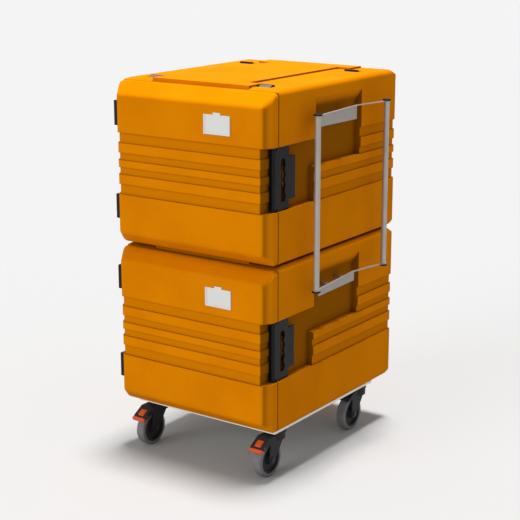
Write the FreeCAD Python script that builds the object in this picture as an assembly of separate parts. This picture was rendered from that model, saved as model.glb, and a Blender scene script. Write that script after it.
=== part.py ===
import FreeCAD, Part
import math
import os

from FreeCAD import Vector

# Insulated food cart: two insulated boxes stacked on a castor dolly and tied together by a push bar.
# Millimetres, +Z up. The doors face -Y, their hinges are on -X, the latches and the push bar on +X.
# Sizes below are first set out from the middle of the boxes, with a box's own heights from its bottom.

# Box outside
BOX_W = 513.0
BOX_D = 653.0
TOP_RISE = 10.5
SEAM_GAP = 1.2
TOP_EDGE_R = 14.0
BOTTOM_EDGE_R = 17.0
BACK_R = 12.0
BACK_BEVEL_D = 31.0
BACK_BEVEL_H = 22.0
SKIN = 4.0

# Door outside: a flat front with a bevel on each of its four sides and a straight rim behind them
DOOR_T = 49.5
DOOR_H = 451.5
SIDE_BEVEL_W = 16.5
SIDE_BEVEL_D = 29.5
END_BEVEL_H = 33.5
END_BEVEL_D = 42.0
BEVEL_FRONT_R = 16.0
BEVEL_RIM_R = 18.0
MITRE_R = 15.0
MITRE_FACETS = 3

# Rib band round the door and the body
BAND_Z = 143.0
BAND_DEPTH = 1.0
GROOVE_DEPTH = 5.0
END_GROOVE_H = 28.0
END_RIB_H = 27.0
MID_GROOVE_H = 20.0
MID_RIB_H = 20.0

# Latch recess and grip pockets
RECESS_DEPTH = 22.0
RECESS_EDGE_R = 3.0
POCKET_FRONT_Y = -103.0
POCKET_LENGTH = 234.0
POCKET_RISE = 147.0
POCKET_RAMP = 35.0

# Stacking top
LEDGE_D = 7.0
RAMP_D = 22.0
WING_X = 159.0
STRIP_X = 116.0
STRIP_DEPTH = 5.0
STRIP_FRONT_Y = -207.0
STRIP_BACK_Y = 228.0
PLATE_BACK_GAP = 40.0
STUD_X = 182.0
STUD_FRONT_Y = -226.0
STUD_BACK_Y = 202.0
STUD_W = 40.0
STUD_D = 22.0
STUD_TOP_D = 9.0
STUD_POCKET_GAP = 3.0

# Cavity for standard food pans, 325 mm wide and 530 mm long
CAVITY_W = 333.0
CAVITY_D = 545.0
CAVITY_H = 351.0
CAVITY_FLOOR = 50.0
CAVITY_R = 18.0
LINER_T = 3.0
LEDGE_W = 12.0
LEDGE_T = 6.0
LEDGE_PITCH = 33.0
LEDGE_END_GAP = 15.0

# Door inside
PLUG_GAP = 4.0
PLUG_DEPTH = 8.0
SEAL_W = 12.0
SEAL_OFFSET = 8.0
SEAL_GAP = 0.3

# Hinges
HINGE_H = 68.0
HINGE_Z = (104.5, 363.5)
HINGE_OUT = 8.3
KNUCKLE_R = 4.0
KNUCKLE_GAP = 0.3
HINGE_PIN_R = 2.0
PIN_HEAD_T = 1.5
LEAF_T = 6.0
BODY_LEAF_L = 15.5
DOOR_LEAF_L = 30.0
LEAF_SCREW_Y = 12.0
LEAF_SCREW_Z = 22.0

# Screws and running fits
SCREW_R = 2.0
SCREW_HEAD_R = 3.6
SCREW_HEAD_T = 1.8
RUN_FIT = 0.05

# Latch
LATCH_SETBACK = 4.0
LATCH_R = 6.5
LATCH_BASE_T = 2.0
LATCH_GAP = 0.5
LATCH_END_GAP = 1.0
LATCH_EAR_T = 7.0
LATCH_PIN_R = 2.0
LEVER_T = 5.0
LEVER_REACH = 62.0
FLAP_REACH = 94.0
FLAP_LOW_INSET = 25.0
FLAP_HIGH_INSET = 30.5
FLAP_TIP_R = 4.0
WINDOW_NEAR = 25.5
WINDOW_W = 21.0
WINDOW_LOW_INSET = 22.5
WINDOW_HIGH_INSET = 33.0
TOOTH_W = 4.0
TOOTH_H = 14.0
TOOTH_COUNT = 4
HOOK_REACH = 66.0
HOOK_W = 5.0
HOOK_H = 50.0
HOOK_GAP = 0.5
KEEPER_T = 2.0
KEEPER_RIDGE_T = 2.0
KEEPER_L = 18.0
KEEPER_RIDGE_W = 7.0

# Card holder on the door
CARD_W = 80.0
CARD_H = 49.0
CARD_T = 0.8
CARD_X = 99.0
CARD_Z = 364.0
CARD_GAP = 0.25
CARD_TAB_W = 24.0
CARD_TAB_H = 6.0
HOLDER_BACK_T = 0.8
HOLDER_LIP_T = 0.8
HOLDER_RIM = 2.0
HOLDER_LIP_W = 3.0

# Dolly deck
DECK_LEFT_INSET = 28.5
DECK_RIGHT_INSET = 10.5
DECK_FRONT_INSET = 52.0
DECK_BACK_INSET = 87.0
DECK_TOP = 136.0
DECK_T = 3.0
DECK_RIM_H = 7.0
DECK_CORNER_R = 5.0

# Castors
CASTOR_SIDE_INSET = 33.0
CASTOR_FRONT_INSET = 48.5
CASTOR_BACK_INSET = 39.5
CASTOR_TRAIL = 38.0
WHEEL_R = 50.0
WHEEL_W = 27.0
TYRE_T = 10.0
TYRE_EDGE_R = 5.0
HUB_R = 15.0
DISC_T = 12.0
AXLE_R = 5.0
AXLE_HEAD_R = 8.5
AXLE_HEAD_T = 2.5
FORK_GAP = 2.0
FORK_T = 5.0
FORK_LEG_R = 14.0
FORK_REAR_Y = 16.0
FORK_REAR_UP = 56.0
HOOD_GAP = 4.0
HOOD_TOP_DROP = 9.0
HOOD_SKIRT_AHEAD = 12.0
HOOD_SKIRT_UP = 47.0
PLAIN_NOSE_AHEAD = 34.0
PLAIN_NOSE_UP = 52.0
HEAD_R = 29.0
HEAD_T = 7.0
SWIVEL_GAP = 0.3
SWIVEL_PIN_R = 6.0
SWIVEL_PIN_HEAD_R = 11.0
SWIVEL_FLANGE_R = 10.0
SWIVEL_WELL_R = 13.0
SWIVEL_FLANGE_T = 5.0
SWIVEL_FLANGE_DROP = 21.0

# Brake pedal on the front castors
PEDAL_SLOPE = 30.0
PEDAL_LINE = 65.0
PEDAL_ALONG = 12.0
PEDAL_DEPTH = 4.5
PEDAL_HUB_R = 4.0
PEDAL_TRUNNION_R = 2.0
PEDAL_W = 19.5
PEDAL_PAD_L = 18.5
PEDAL_PROUD = 1.0
PEDAL_T = 5.0
PEDAL_LIP_NEAR = 9.0
PEDAL_LIP_L = 9.0
PEDAL_LIP_T = 12.0
PEDAL_LIP_R = 3.0
PEDAL_GAP = 0.8
PEDAL_BAR_L = 4.0
PEDAL_BAR_T = 3.0

# Push bar
TUBE_R = 8.0
TUBE_WALL = 1.5
BAR_STANDOFF = 44.0
BAR_FRONT_Y = -161.0
BAR_REAR_Y = 193.0
BAR_BOTTOM = 515.0
BAR_LENGTH = 465.0
CAP_R = 12.0
CAP_T = 4.5
CAP_EDGE_R = 1.5
CAP_PLUG_L = 12.0
STRAP_T = 2.0
STRAP_W = 8.0
APEX_Y = 69.0
APEX_INSET = 23.0
FLAP_UPPER_H = 38.0
FLAP_LOWER_H = 27.0
FLAP_TAPER = 7.5
FLAP_CAP_GAP = 0.5
STUD_ROD_R = 6.0
STUD_THREAD_R = 3.0
STUD_ROD_Y = (-49.0, 36.0)
STUD_ROD_Z = 364.0

OVER = 1.0

# Planes and heights that follow from the sizes above
SIDE_X = BOX_W / 2
FRONT_Y = -BOX_D / 2
BACK_Y = BOX_D / 2
DOOR_BACK_Y = FRONT_Y + DOOR_T
BODY_Y = DOOR_BACK_Y + SEAM_GAP
SEAM_Y = (DOOR_BACK_Y + BODY_Y) / 2
BODY_H = DOOR_H + TOP_RISE
STRIP_Z = BODY_H - STRIP_DEPTH
PITCH = BODY_H
BAND_H = 2 * (END_GROOVE_H + END_RIB_H + MID_GROOVE_H) + MID_RIB_H
BAND_TOP = BAND_Z + BAND_H
RECESS_X = SIDE_X - RECESS_DEPTH
POCKET_BACK_Y = POCKET_FRONT_Y + POCKET_LENGTH
POCKET_Z = BAND_Z + END_GROOVE_H + END_RIB_H + MID_GROOVE_H + MID_RIB_H
CAVITY_TOP = CAVITY_FLOOR + CAVITY_H
CAVITY_BACK_Y = BODY_Y + CAVITY_D
HINGE_X = -(SIDE_X + HINGE_OUT)
LATCH_X = RECESS_X + LATCH_BASE_T + LATCH_GAP + LATCH_R
LATCH_Y = DOOR_BACK_Y - LATCH_SETBACK
LATCH_LOW = BAND_Z + LATCH_END_GAP
LATCH_HIGH = BAND_TOP - LATCH_END_GAP
LATCH_MID = (LATCH_LOW + LATCH_HIGH) / 2
LEVER_FACE_X = LATCH_X + LATCH_R
LEVER_BACK_X = LEVER_FACE_X - LEVER_T
HOLDER_T = HOLDER_BACK_T + CARD_T + 2 * CARD_GAP + HOLDER_LIP_T
DECK_LEFT = -SIDE_X + DECK_LEFT_INSET
DECK_RIGHT = SIDE_X - DECK_RIGHT_INSET
DECK_FRONT = FRONT_Y + DECK_FRONT_INSET
DECK_BACK = BACK_Y - DECK_BACK_INSET
DECK_UNDER = DECK_TOP - DECK_T
HEAD_UNDER = DECK_UNDER - HEAD_T
CROWN_TOP = HEAD_UNDER - SWIVEL_GAP
HOOD_TOP = CROWN_TOP - HOOD_TOP_DROP
FORK_IN = WHEEL_W / 2 + FORK_GAP
FORK_OUT = FORK_IN + FORK_T
BAR_X = SIDE_X + BAR_STANDOFF
BAR_TOP = BAR_BOTTOM + BAR_LENGTH
LEVELS = {"lower": DECK_TOP, "upper": DECK_TOP + PITCH}

# The origin is on the floor under the middle of the whole cart's outline.
REACH_LEFT = HINGE_X - KNUCKLE_R
REACH_RIGHT = BAR_X + CAP_R
REACH_FRONT = FRONT_Y - HOLDER_T
ORIGIN = Vector((REACH_LEFT + REACH_RIGHT) / 2, (REACH_FRONT + BACK_Y) / 2, 0)

X_AXIS = Vector(1, 0, 0)
Y_AXIS = Vector(0, 1, 0)
Z_AXIS = Vector(0, 0, 1)


def block(x0, x1, y0, y1, z0, z1):
    """A plain block between two corners."""
    return Part.makeBox(x1 - x0, y1 - y0, z1 - z0, Vector(x0, y0, z0))


def rod(radius, start, axis, length):
    """A round bar from a point along an axis."""
    return Part.makeCylinder(radius, length, start, axis)


def edges_along(solid, axis, test):
    """The straight edges of a solid that run along an axis and pass a test on their middle point."""
    found = []
    for edge in solid.Edges:
        first, last = edge.firstVertex().Point, edge.lastVertex().Point
        run = last.sub(first)
        if run.Length > 0 and abs(abs(run.dot(axis)) - run.Length) < 1e-6 and test((first + last) * 0.5):
            found.append(edge)
    return found


def rounded_bar(x0, x1, y0, y1, z0, z1, top_r, bottom_r):
    """A block along Y whose long edges are rounded, apart at the top and at the bottom."""
    solid = block(x0, x1, y0, y1, z0, z1)
    middle = (z0 + z1) / 2
    solid = solid.makeFillet(top_r, edges_along(solid, Y_AXIS, lambda point: point.z > middle))
    return solid.makeFillet(bottom_r, edges_along(solid, Y_AXIS, lambda point: point.z < middle))


def rounded_box(x0, x1, y0, y1, z0, z1, top_r, bottom_r, end_r, end_y):
    """A block with rounded long edges, whose end face at end_y has a rounded rim."""
    solid = rounded_bar(x0, x1, y0, y1, z0, z1, top_r, bottom_r)
    rim = [e for e in solid.Edges if all(abs(v.Y - end_y) < 1e-6 for v in e.Vertexes)]
    return solid.makeFillet(end_r, rim)


def rounded_outline(corners):
    """A closed flat wire from (point, radius) corners, with an arc at each corner that has a radius."""
    stretches = []
    arcs = []
    for index, (point, radius) in enumerate(corners):
        before = (corners[index - 1][0] - point).normalize()
        after = (corners[(index + 1) % len(corners)][0] - point).normalize()
        if radius == 0:
            stretches.append((point, point))
            arcs.append(None)
            continue
        half = before.getAngle(after) / 2
        inward = (before + after).normalize()
        start = point + before * (radius / math.tan(half))
        end = point + after * (radius / math.tan(half))
        middle = point + inward * (radius / math.sin(half) - radius)
        stretches.append((start, end))
        arcs.append(Part.Arc(start, middle, end).toShape())
    edges = []
    for index, arc in enumerate(arcs):
        if arc:
            edges.append(arc)
        run_end = stretches[(index + 1) % len(stretches)][0]
        edges.append(Part.LineSegment(stretches[index][1], run_end).toShape())
    return Part.Wire(edges)


def inset_prism(outline, inset, way):
    """A prism on a closed wire that is drawn in by an inset."""
    wire = outline.makeOffset2D(-inset) if inset else outline
    return Part.Face(wire).extrude(way)


def extrude_xz(points, y0, y1):
    """A prism along Y from an outline of (x, z) points."""
    corners = [Vector(x, y0, z) for x, z in points]
    return Part.Face(Part.makePolygon(corners + corners[:1])).extrude(Y_AXIS * (y1 - y0))


def extrude_yz(wire, x0, x1):
    """A prism along X from a closed wire in the plane X = 0."""
    face = Part.Face(wire)
    face.translate(X_AXIS * x0)
    return face.extrude(X_AXIS * (x1 - x0))


def polygon_yz(points):
    """A closed outline in the plane X = 0 from (y, z) points."""
    corners = [Vector(0, y, z) for y, z in points]
    return Part.makePolygon(corners + corners[:1])


def outside_plane(point, normal, inset):
    """A block on the outer side of a plane through the point, moved in by the inset."""
    outward = Vector(normal).normalize()
    span = BOX_D
    solid = Part.makeBox(span, span, span, Vector(-span / 2, -span / 2, 0))
    solid.Placement = FreeCAD.Placement(point - outward * inset, FreeCAD.Rotation(Z_AXIS, outward))
    return solid


def mirror_x(shape):
    """The same shape on the other side of the plane X = 0."""
    return shape.mirror(Vector(0, 0, 0), X_AXIS)


def moved(shape, x, y, z):
    """A copy of a shape, shifted."""
    copy = shape.copy()
    copy.translate(Vector(x, y, z))
    return copy


def groove_heights():
    """Bottom and top of each groove of the rib band."""
    heights = []
    z = BAND_Z
    layout = (
        (END_GROOVE_H, END_RIB_H),
        (MID_GROOVE_H, MID_RIB_H),
        (MID_GROOVE_H, END_RIB_H),
        (END_GROOVE_H, 0.0),
    )
    for groove, rib in layout:
        heights.append((z, z + groove))
        z += groove + rib
    return heights


def band_cuts(inset):
    """Bottom, top and depth of each cut that makes the rib band, all grown by an inset."""
    cuts = [(BAND_Z - inset, BAND_TOP + inset, BAND_DEPTH + inset)]
    for low, high in groove_heights():
        cuts.append((low - inset, high + inset, GROOVE_DEPTH + inset))
    return cuts


# Body of a box

def pocket_cut(inset):
    """The space of a grip pocket on the right side, whose ceiling ramps up to the outside."""
    slope = POCKET_RAMP / RECESS_DEPTH
    lift = inset * math.hypot(1.0, slope)
    back = RECESS_X - inset
    ceiling = POCKET_Z + POCKET_RISE + lift - slope * inset
    outside = SIDE_X + RECESS_DEPTH
    outline = [
        (back, POCKET_Z - inset),
        (outside, POCKET_Z - inset),
        (outside, ceiling + slope * (outside - back)),
        (back, ceiling),
    ]
    return extrude_xz(outline, POCKET_FRONT_Y - inset, POCKET_BACK_Y + inset)


def body_plan():
    """The outline of a body seen from above, drawn far enough forwards for its cuts."""
    return rounded_outline([
        (Vector(-SIDE_X, -BOX_D, 0), 0),
        (Vector(SIDE_X, -BOX_D, 0), 0),
        (Vector(SIDE_X, BACK_Y, 0), BACK_R),
        (Vector(-SIDE_X, BACK_Y, 0), BACK_R),
    ])


def body_cuts(inset):
    """Everything that is cut from the sides and the back of a body: ribs, latch recess and pockets."""
    cuts = []
    for low, high, depth in band_cuts(inset):
        ring = block(-BOX_W, BOX_W, BODY_Y - 2 * OVER, BOX_D, low, high)
        core = inset_prism(body_plan(), depth, Z_AXIS * (high - low + 2 * OVER))
        core.translate(Z_AXIS * (low - OVER))
        cuts.append(ring.cut(core))
    cuts.append(
        block(
            RECESS_X - inset, BOX_W, BODY_Y - 2 * OVER, POCKET_FRONT_Y + inset + OVER,
            BAND_Z - inset, BAND_TOP + inset,
        )
    )
    pocket = pocket_cut(inset)
    return cuts + [pocket, mirror_x(pocket)]


def back_bevels(inset):
    """What the flat bevels cut off along the top and the bottom of a body's back."""
    start = BACK_Y - BACK_BEVEL_D
    top = outside_plane(Vector(0, start, STRIP_Z), Vector(0, BACK_BEVEL_H, BACK_BEVEL_D), inset)
    bottom = outside_plane(Vector(0, start, 0), Vector(0, BACK_BEVEL_H, -BACK_BEVEL_D), inset)
    return [top, bottom]


def stud_places():
    """Middle of each stacking stud on a box's top."""
    return [(x, y) for x in (-STUD_X, STUD_X) for y in (STUD_FRONT_Y, STUD_BACK_Y)]


def top_plate():
    """The raised plate on the top that carries the next box, with wings in front and behind."""
    front = BODY_Y + LEDGE_D
    back = BACK_Y - PLATE_BACK_GAP
    low = STRIP_Z - OVER
    middle = block(-STRIP_X, STRIP_X, front, back, low, BODY_H)
    front_wing = block(-WING_X, WING_X, front, STRIP_FRONT_Y, low, BODY_H)
    back_wing = block(-WING_X, WING_X, STRIP_BACK_Y, back, low, BODY_H)
    return middle.fuse([front_wing, back_wing])


def top_cuts():
    """The front ledge, the ramps beside it and the stud pockets."""
    high = BODY_H + OVER
    front = BODY_Y - OVER
    cuts = [block(-WING_X, WING_X, front, BODY_Y + LEDGE_D, DOOR_H, high)]
    slope = (STRIP_Z - DOOR_H) / RAMP_D
    outline = polygon_yz([
        (front, DOOR_H - slope * OVER),
        (BODY_Y + RAMP_D + OVER, STRIP_Z + slope * OVER),
        (front, STRIP_Z + slope * OVER),
    ])
    cuts += [extrude_yz(outline, -BOX_W, -WING_X), extrude_yz(outline, WING_X, BOX_W)]
    half_w = STUD_W / 2 + STUD_POCKET_GAP
    half_d = STUD_D / 2 + STUD_POCKET_GAP
    for x, y in stud_places():
        cuts.append(block(x - half_w, x + half_w, y - half_d, y + half_d, DOOR_H, high))
    return cuts


def body_outside():
    """The solid outline of a body."""
    main = rounded_box(
        -SIDE_X, SIDE_X, BODY_Y, BACK_Y, 0, STRIP_Z, TOP_EDGE_R, BOTTOM_EDGE_R, BACK_R, BACK_Y
    )
    main = main.cut(back_bevels(0))
    return main.fuse(top_plate()).cut(body_cuts(0) + top_cuts()).removeSplitter()


def body_inside(front_y):
    """The space inside a body's outer skin, from front_y backwards."""
    space = rounded_box(
        -SIDE_X + SKIN, SIDE_X - SKIN, front_y, BACK_Y - SKIN, SKIN, DOOR_H - SKIN,
        TOP_EDGE_R - SKIN, BOTTOM_EDGE_R - SKIN, BACK_R - SKIN, BACK_Y - SKIN,
    )
    return space.cut(back_bevels(SKIN) + body_cuts(SKIN))


def cavity(grow, front_y):
    """The food cavity, or with a grow the outside of its liner."""
    half = CAVITY_W / 2 + grow
    back = CAVITY_BACK_Y + grow
    return rounded_box(
        -half, half, front_y, back, CAVITY_FLOOR - grow, CAVITY_TOP + grow,
        CAVITY_R + grow, CAVITY_R + grow, CAVITY_R, back,
    )


def pan_ledges():
    """Pairs of ledges on the liner's side walls that carry the food pans."""
    ledges = []
    half = CAVITY_W / 2 + LINER_T / 2
    count = int((CAVITY_H - 2 * CAVITY_R) // LEDGE_PITCH)
    for row in range(count):
        low = CAVITY_FLOOR + CAVITY_R + (row + 0.5) * LEDGE_PITCH
        ledge = block(
            CAVITY_W / 2 - LEDGE_W, half, BODY_Y + LEDGE_END_GAP, CAVITY_BACK_Y - CAVITY_R - LEDGE_END_GAP,
            low, low + LEDGE_T,
        )
        ledges += [ledge, mirror_x(ledge)]
    return ledges


def make_body():
    """Outer shell, foam core and inner liner of one box."""
    inside = body_inside(BODY_Y)
    rim = block(-BOX_W, BOX_W, BODY_Y, BODY_Y + SKIN, 0, BODY_H)
    behind_rim = block(-BOX_W, BOX_W, BODY_Y + SKIN, BOX_D, 0, BODY_H)
    space = cavity(0, BODY_Y - OVER)
    lining = cavity(LINER_T, BODY_Y)
    liner = inside.common(rim).fuse(lining).cut(space).fuse(pan_ledges()).removeSplitter()
    foam = inside.common(behind_rim).cut(lining)
    shell = body_outside().cut(body_inside(BODY_Y - OVER))
    return shell.cut(body_screw_shanks() + bar_stud_holes()), foam, liner


# Door of a box

def door_plan():
    """The outline of a door seen from above, drawn far enough backwards for its insets."""
    bevel_y = FRONT_Y + SIDE_BEVEL_D
    front_x = SIDE_X - SIDE_BEVEL_W
    return rounded_outline([
        (Vector(-SIDE_X, BACK_Y, 0), 0),
        (Vector(-SIDE_X, bevel_y, 0), BEVEL_RIM_R),
        (Vector(-front_x, FRONT_Y, 0), BEVEL_FRONT_R),
        (Vector(front_x, FRONT_Y, 0), BEVEL_FRONT_R),
        (Vector(SIDE_X, bevel_y, 0), BEVEL_RIM_R),
        (Vector(SIDE_X, BACK_Y, 0), 0),
    ])


def door_profile():
    """The outline of a door seen from its side, drawn far enough backwards for its insets."""
    bevel_y = FRONT_Y + END_BEVEL_D
    return rounded_outline([
        (Vector(0, BACK_Y, 0), 0),
        (Vector(0, bevel_y, 0), BEVEL_RIM_R),
        (Vector(0, FRONT_Y, END_BEVEL_H), BEVEL_FRONT_R),
        (Vector(0, FRONT_Y, DOOR_H - END_BEVEL_H), BEVEL_FRONT_R),
        (Vector(0, bevel_y, DOOR_H), BEVEL_RIM_R),
        (Vector(0, BACK_Y, DOOR_H), 0),
    ])


def door_cuts(inset):
    """The rib band of a door. On the right it runs on into the latch recess."""
    cuts = []
    for low, high, depth in band_cuts(inset):
        ring = block(-BOX_W, BOX_W, -BOX_D, DOOR_BACK_Y + 2 * OVER, low, high)
        core = inset_prism(door_plan(), depth, Z_AXIS * (high - low + 2 * OVER))
        core.translate(Z_AXIS * (low - OVER))
        right = RECESS_X + BAND_DEPTH - depth
        core = core.cut(block(right, BOX_W, -BOX_D, BOX_D, low - 2 * OVER, high + 2 * OVER))

        def at_front(point, edge_x=right):
            return abs(point.x - edge_x) < 1e-6 and point.y < DOOR_BACK_Y
        core = core.makeFillet(RECESS_EDGE_R, edges_along(core, Z_AXIS, at_front))
        cuts.append(ring.cut(core))
    return cuts


def door_mitres(inset):
    """What rounds off the four edges where a side bevel of the door meets an end bevel, in flat facets."""
    side = Vector(SIDE_BEVEL_D, -SIDE_BEVEL_W, 0).normalize()
    end = Vector(0, -END_BEVEL_H, END_BEVEL_D).normalize()
    corner = Vector(SIDE_X - SIDE_BEVEL_W, FRONT_Y, DOOR_H - END_BEVEL_H)
    centre = corner - (side + end) * (MITRE_R / (1 + side.dot(end)))
    cuts = []
    for step in range(MITRE_FACETS):
        share = (step + 1) / (MITRE_FACETS + 1)
        outward = (side * (1 - share) + end * share).normalize()
        upper = outside_plane(centre + outward * MITRE_R, outward, inset)
        lower = upper.mirror(Vector(0, 0, DOOR_H / 2), Z_AXIS)
        cuts += [upper, lower, mirror_x(upper), mirror_x(lower)]
    return cuts


def door_form(inset, back_y):
    """The outline of a door, or with an inset the space inside its skin."""
    bar = rounded_bar(
        -SIDE_X + inset, SIDE_X - inset, -BOX_D, back_y, inset, DOOR_H - inset,
        TOP_EDGE_R - inset, BOTTOM_EDGE_R - inset,
    )
    plan = inset_prism(door_plan(), inset, Z_AXIS * DOOR_H)
    profile = inset_prism(door_profile(), inset, X_AXIS * BOX_W)
    profile.translate(X_AXIS * -SIDE_X)
    return bar.common(plan).common(profile).cut(door_mitres(inset) + door_cuts(inset))


def door_frame(inner, width, y0, y1):
    """A flat ring round the cavity's mouth, from an inner offset and a width."""
    def ring_block(offset):
        half = CAVITY_W / 2 + offset
        radius = CAVITY_R + offset
        return rounded_bar(
            -half, half, y0, y1, CAVITY_FLOOR - offset, CAVITY_TOP + offset, radius, radius
        )
    return ring_block(inner + width).cut(ring_block(inner))


def make_door():
    """Shell, foam, liner with its plug, and seal of one door."""
    inside = door_form(SKIN, DOOR_BACK_Y)
    panel_y = DOOR_BACK_Y - SKIN
    panel = inside.common(block(-BOX_W, BOX_W, panel_y, DOOR_BACK_Y, 0, BODY_H))
    foam = inside.common(block(-BOX_W, BOX_W, FRONT_Y, panel_y, 0, BODY_H))
    half = CAVITY_W / 2 - PLUG_GAP
    plug = rounded_box(
        -half, half, panel_y, BODY_Y + PLUG_DEPTH, CAVITY_FLOOR + PLUG_GAP, CAVITY_TOP - PLUG_GAP,
        CAVITY_R - PLUG_GAP, CAVITY_R - PLUG_GAP, PLUG_DEPTH / 2, BODY_Y + PLUG_DEPTH,
    )
    seal = door_frame(SEAL_OFFSET, SEAL_W, DOOR_BACK_Y, BODY_Y - SEAL_GAP)
    shell = door_form(0, DOOR_BACK_Y).cut(door_form(SKIN, DOOR_BACK_Y + OVER))
    return shell.cut(door_shanks()), foam, panel.fuse(plug).removeSplitter(), seal


# Hinges on the left side

def hinge_leaf(z, side):
    """One hinge leaf with its knuckles: side -1 is the door's, with the middle knuckle."""
    low = z - HINGE_H / 2
    third = HINGE_H / 3
    start = SEAM_Y + side * (KNUCKLE_R + KNUCKLE_GAP)
    if side < 0:
        leaf = block(
            -SIDE_X - LEAF_T, -SIDE_X + SIDE_BEVEL_W, start - DOOR_LEAF_L, start, low, low + HINGE_H
        )
        leaf = leaf.cut(door_form(0, DOOR_BACK_Y))
        spans = [(low + third + KNUCKLE_GAP, third - 2 * KNUCKLE_GAP)]
    else:
        leaf = block(-SIDE_X - LEAF_T, -SIDE_X, start, start + BODY_LEAF_L, low, low + HINGE_H)
        spans = [(low, third), (low + 2 * third, third)]
    y0, y1 = sorted((SEAM_Y, start))
    for bottom, height in spans:
        web = block(HINGE_X, -SIDE_X - KNUCKLE_GAP, y0, y1, bottom, bottom + height)
        knuckle = rod(KNUCKLE_R, Vector(HINGE_X, SEAM_Y, bottom), Z_AXIS, height)
        leaf = leaf.fuse([web, knuckle])
    bore = rod(HINGE_PIN_R + RUN_FIT, Vector(HINGE_X, SEAM_Y, low - OVER), Z_AXIS, HINGE_H + 2 * OVER)
    holes = [screw_shank(place) for place in leaf_screw_places(z, side)]
    return leaf.removeSplitter().cut([bore] + holes)


def hinge_pin(z):
    """A hinge's pin with a flat head on top."""
    low = z - HINGE_H / 2
    pin = rod(HINGE_PIN_R, Vector(HINGE_X, SEAM_Y, low), Z_AXIS, HINGE_H)
    head = rod(KNUCKLE_R - KNUCKLE_GAP, Vector(HINGE_X, SEAM_Y, low + HINGE_H), Z_AXIS, PIN_HEAD_T)
    return pin.fuse(head).removeSplitter()


# Small screws. A place is the point on the box's surface, the way the screw points out, and what it clamps.

def leaf_screw_places(z, side):
    """Places of the two screws of a hinge leaf."""
    y = SEAM_Y + side * LEAF_SCREW_Y
    return [(Vector(-SIDE_X, y, z + dz), -1, LEAF_T) for dz in (-LEAF_SCREW_Z, LEAF_SCREW_Z)]


def latch_pegs():
    """The pegs of the latch base, pressed into the ribs of the recess between its ears."""
    pegs = []
    for low, high in ((groove_heights()[0][1], groove_heights()[1][0]),
                      (groove_heights()[2][1], groove_heights()[3][0])):
        start = Vector(RECESS_X - SKIN, LATCH_Y, (low + high) / 2)
        pegs.append(rod(SCREW_R, start, X_AXIS, SKIN))
    return pegs


def screw_shank(place):
    """The round shank of a screw, through what it clamps and the box's skin."""
    point, way, clamped = place
    return rod(SCREW_R, point - X_AXIS * way * SKIN, X_AXIS * way, SKIN + clamped)


def screw(place):
    """A small round-head screw."""
    point, way, clamped = place
    head = rod(SCREW_HEAD_R, point + X_AXIS * way * clamped, X_AXIS * way, SCREW_HEAD_T)
    rim = [e for e in head.Edges if abs(e.CenterOfMass.x - point.x) > clamped + SCREW_HEAD_T / 2]
    head = head.makeFillet(SCREW_HEAD_T / 2, [e for e in rim if e.Curve.TypeId == "Part::GeomCircle"])
    return screw_shank(place).fuse(head).removeSplitter()


def body_screw_places():
    """Places of the hinge screws on a body."""
    return [place for z in HINGE_Z for place in leaf_screw_places(z, 1)]


def door_screw_places():
    """Places of the hinge screws on a door."""
    return [place for z in HINGE_Z for place in leaf_screw_places(z, -1)]


def body_screw_shanks():
    """The holes that the screws take in a body."""
    return [screw_shank(place) for place in body_screw_places()]


def door_shanks():
    """The holes that the hinge screws and the latch's pegs take in a door."""
    return [screw_shank(place) for place in door_screw_places()] + latch_pegs()


# Latch on the right side

def latch_base():
    """The black base on the door with an ear at each end of the lever's barrel and pegs behind."""
    plate_end = DOOR_BACK_Y - LATCH_GAP
    base = block(
        RECESS_X, RECESS_X + LATCH_BASE_T, LATCH_Y - LATCH_R, plate_end, LATCH_LOW, LATCH_HIGH
    )
    for low in (LATCH_LOW, LATCH_HIGH - LATCH_EAR_T):
        ear = rod(LATCH_R, Vector(LATCH_X, LATCH_Y, low), Z_AXIS, LATCH_EAR_T)
        foot = block(RECESS_X, LATCH_X, LATCH_Y - LATCH_R, plate_end, low, low + LATCH_EAR_T)
        base = base.fuse([ear, foot])
    return base.fuse(latch_pegs()).removeSplitter().cut(latch_pin())


def latch_pin():
    """The steel pin through both ears and the lever."""
    return rod(LATCH_PIN_R, Vector(LATCH_X, LATCH_Y, LATCH_LOW), Z_AXIS, LATCH_HIGH - LATCH_LOW)


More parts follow.
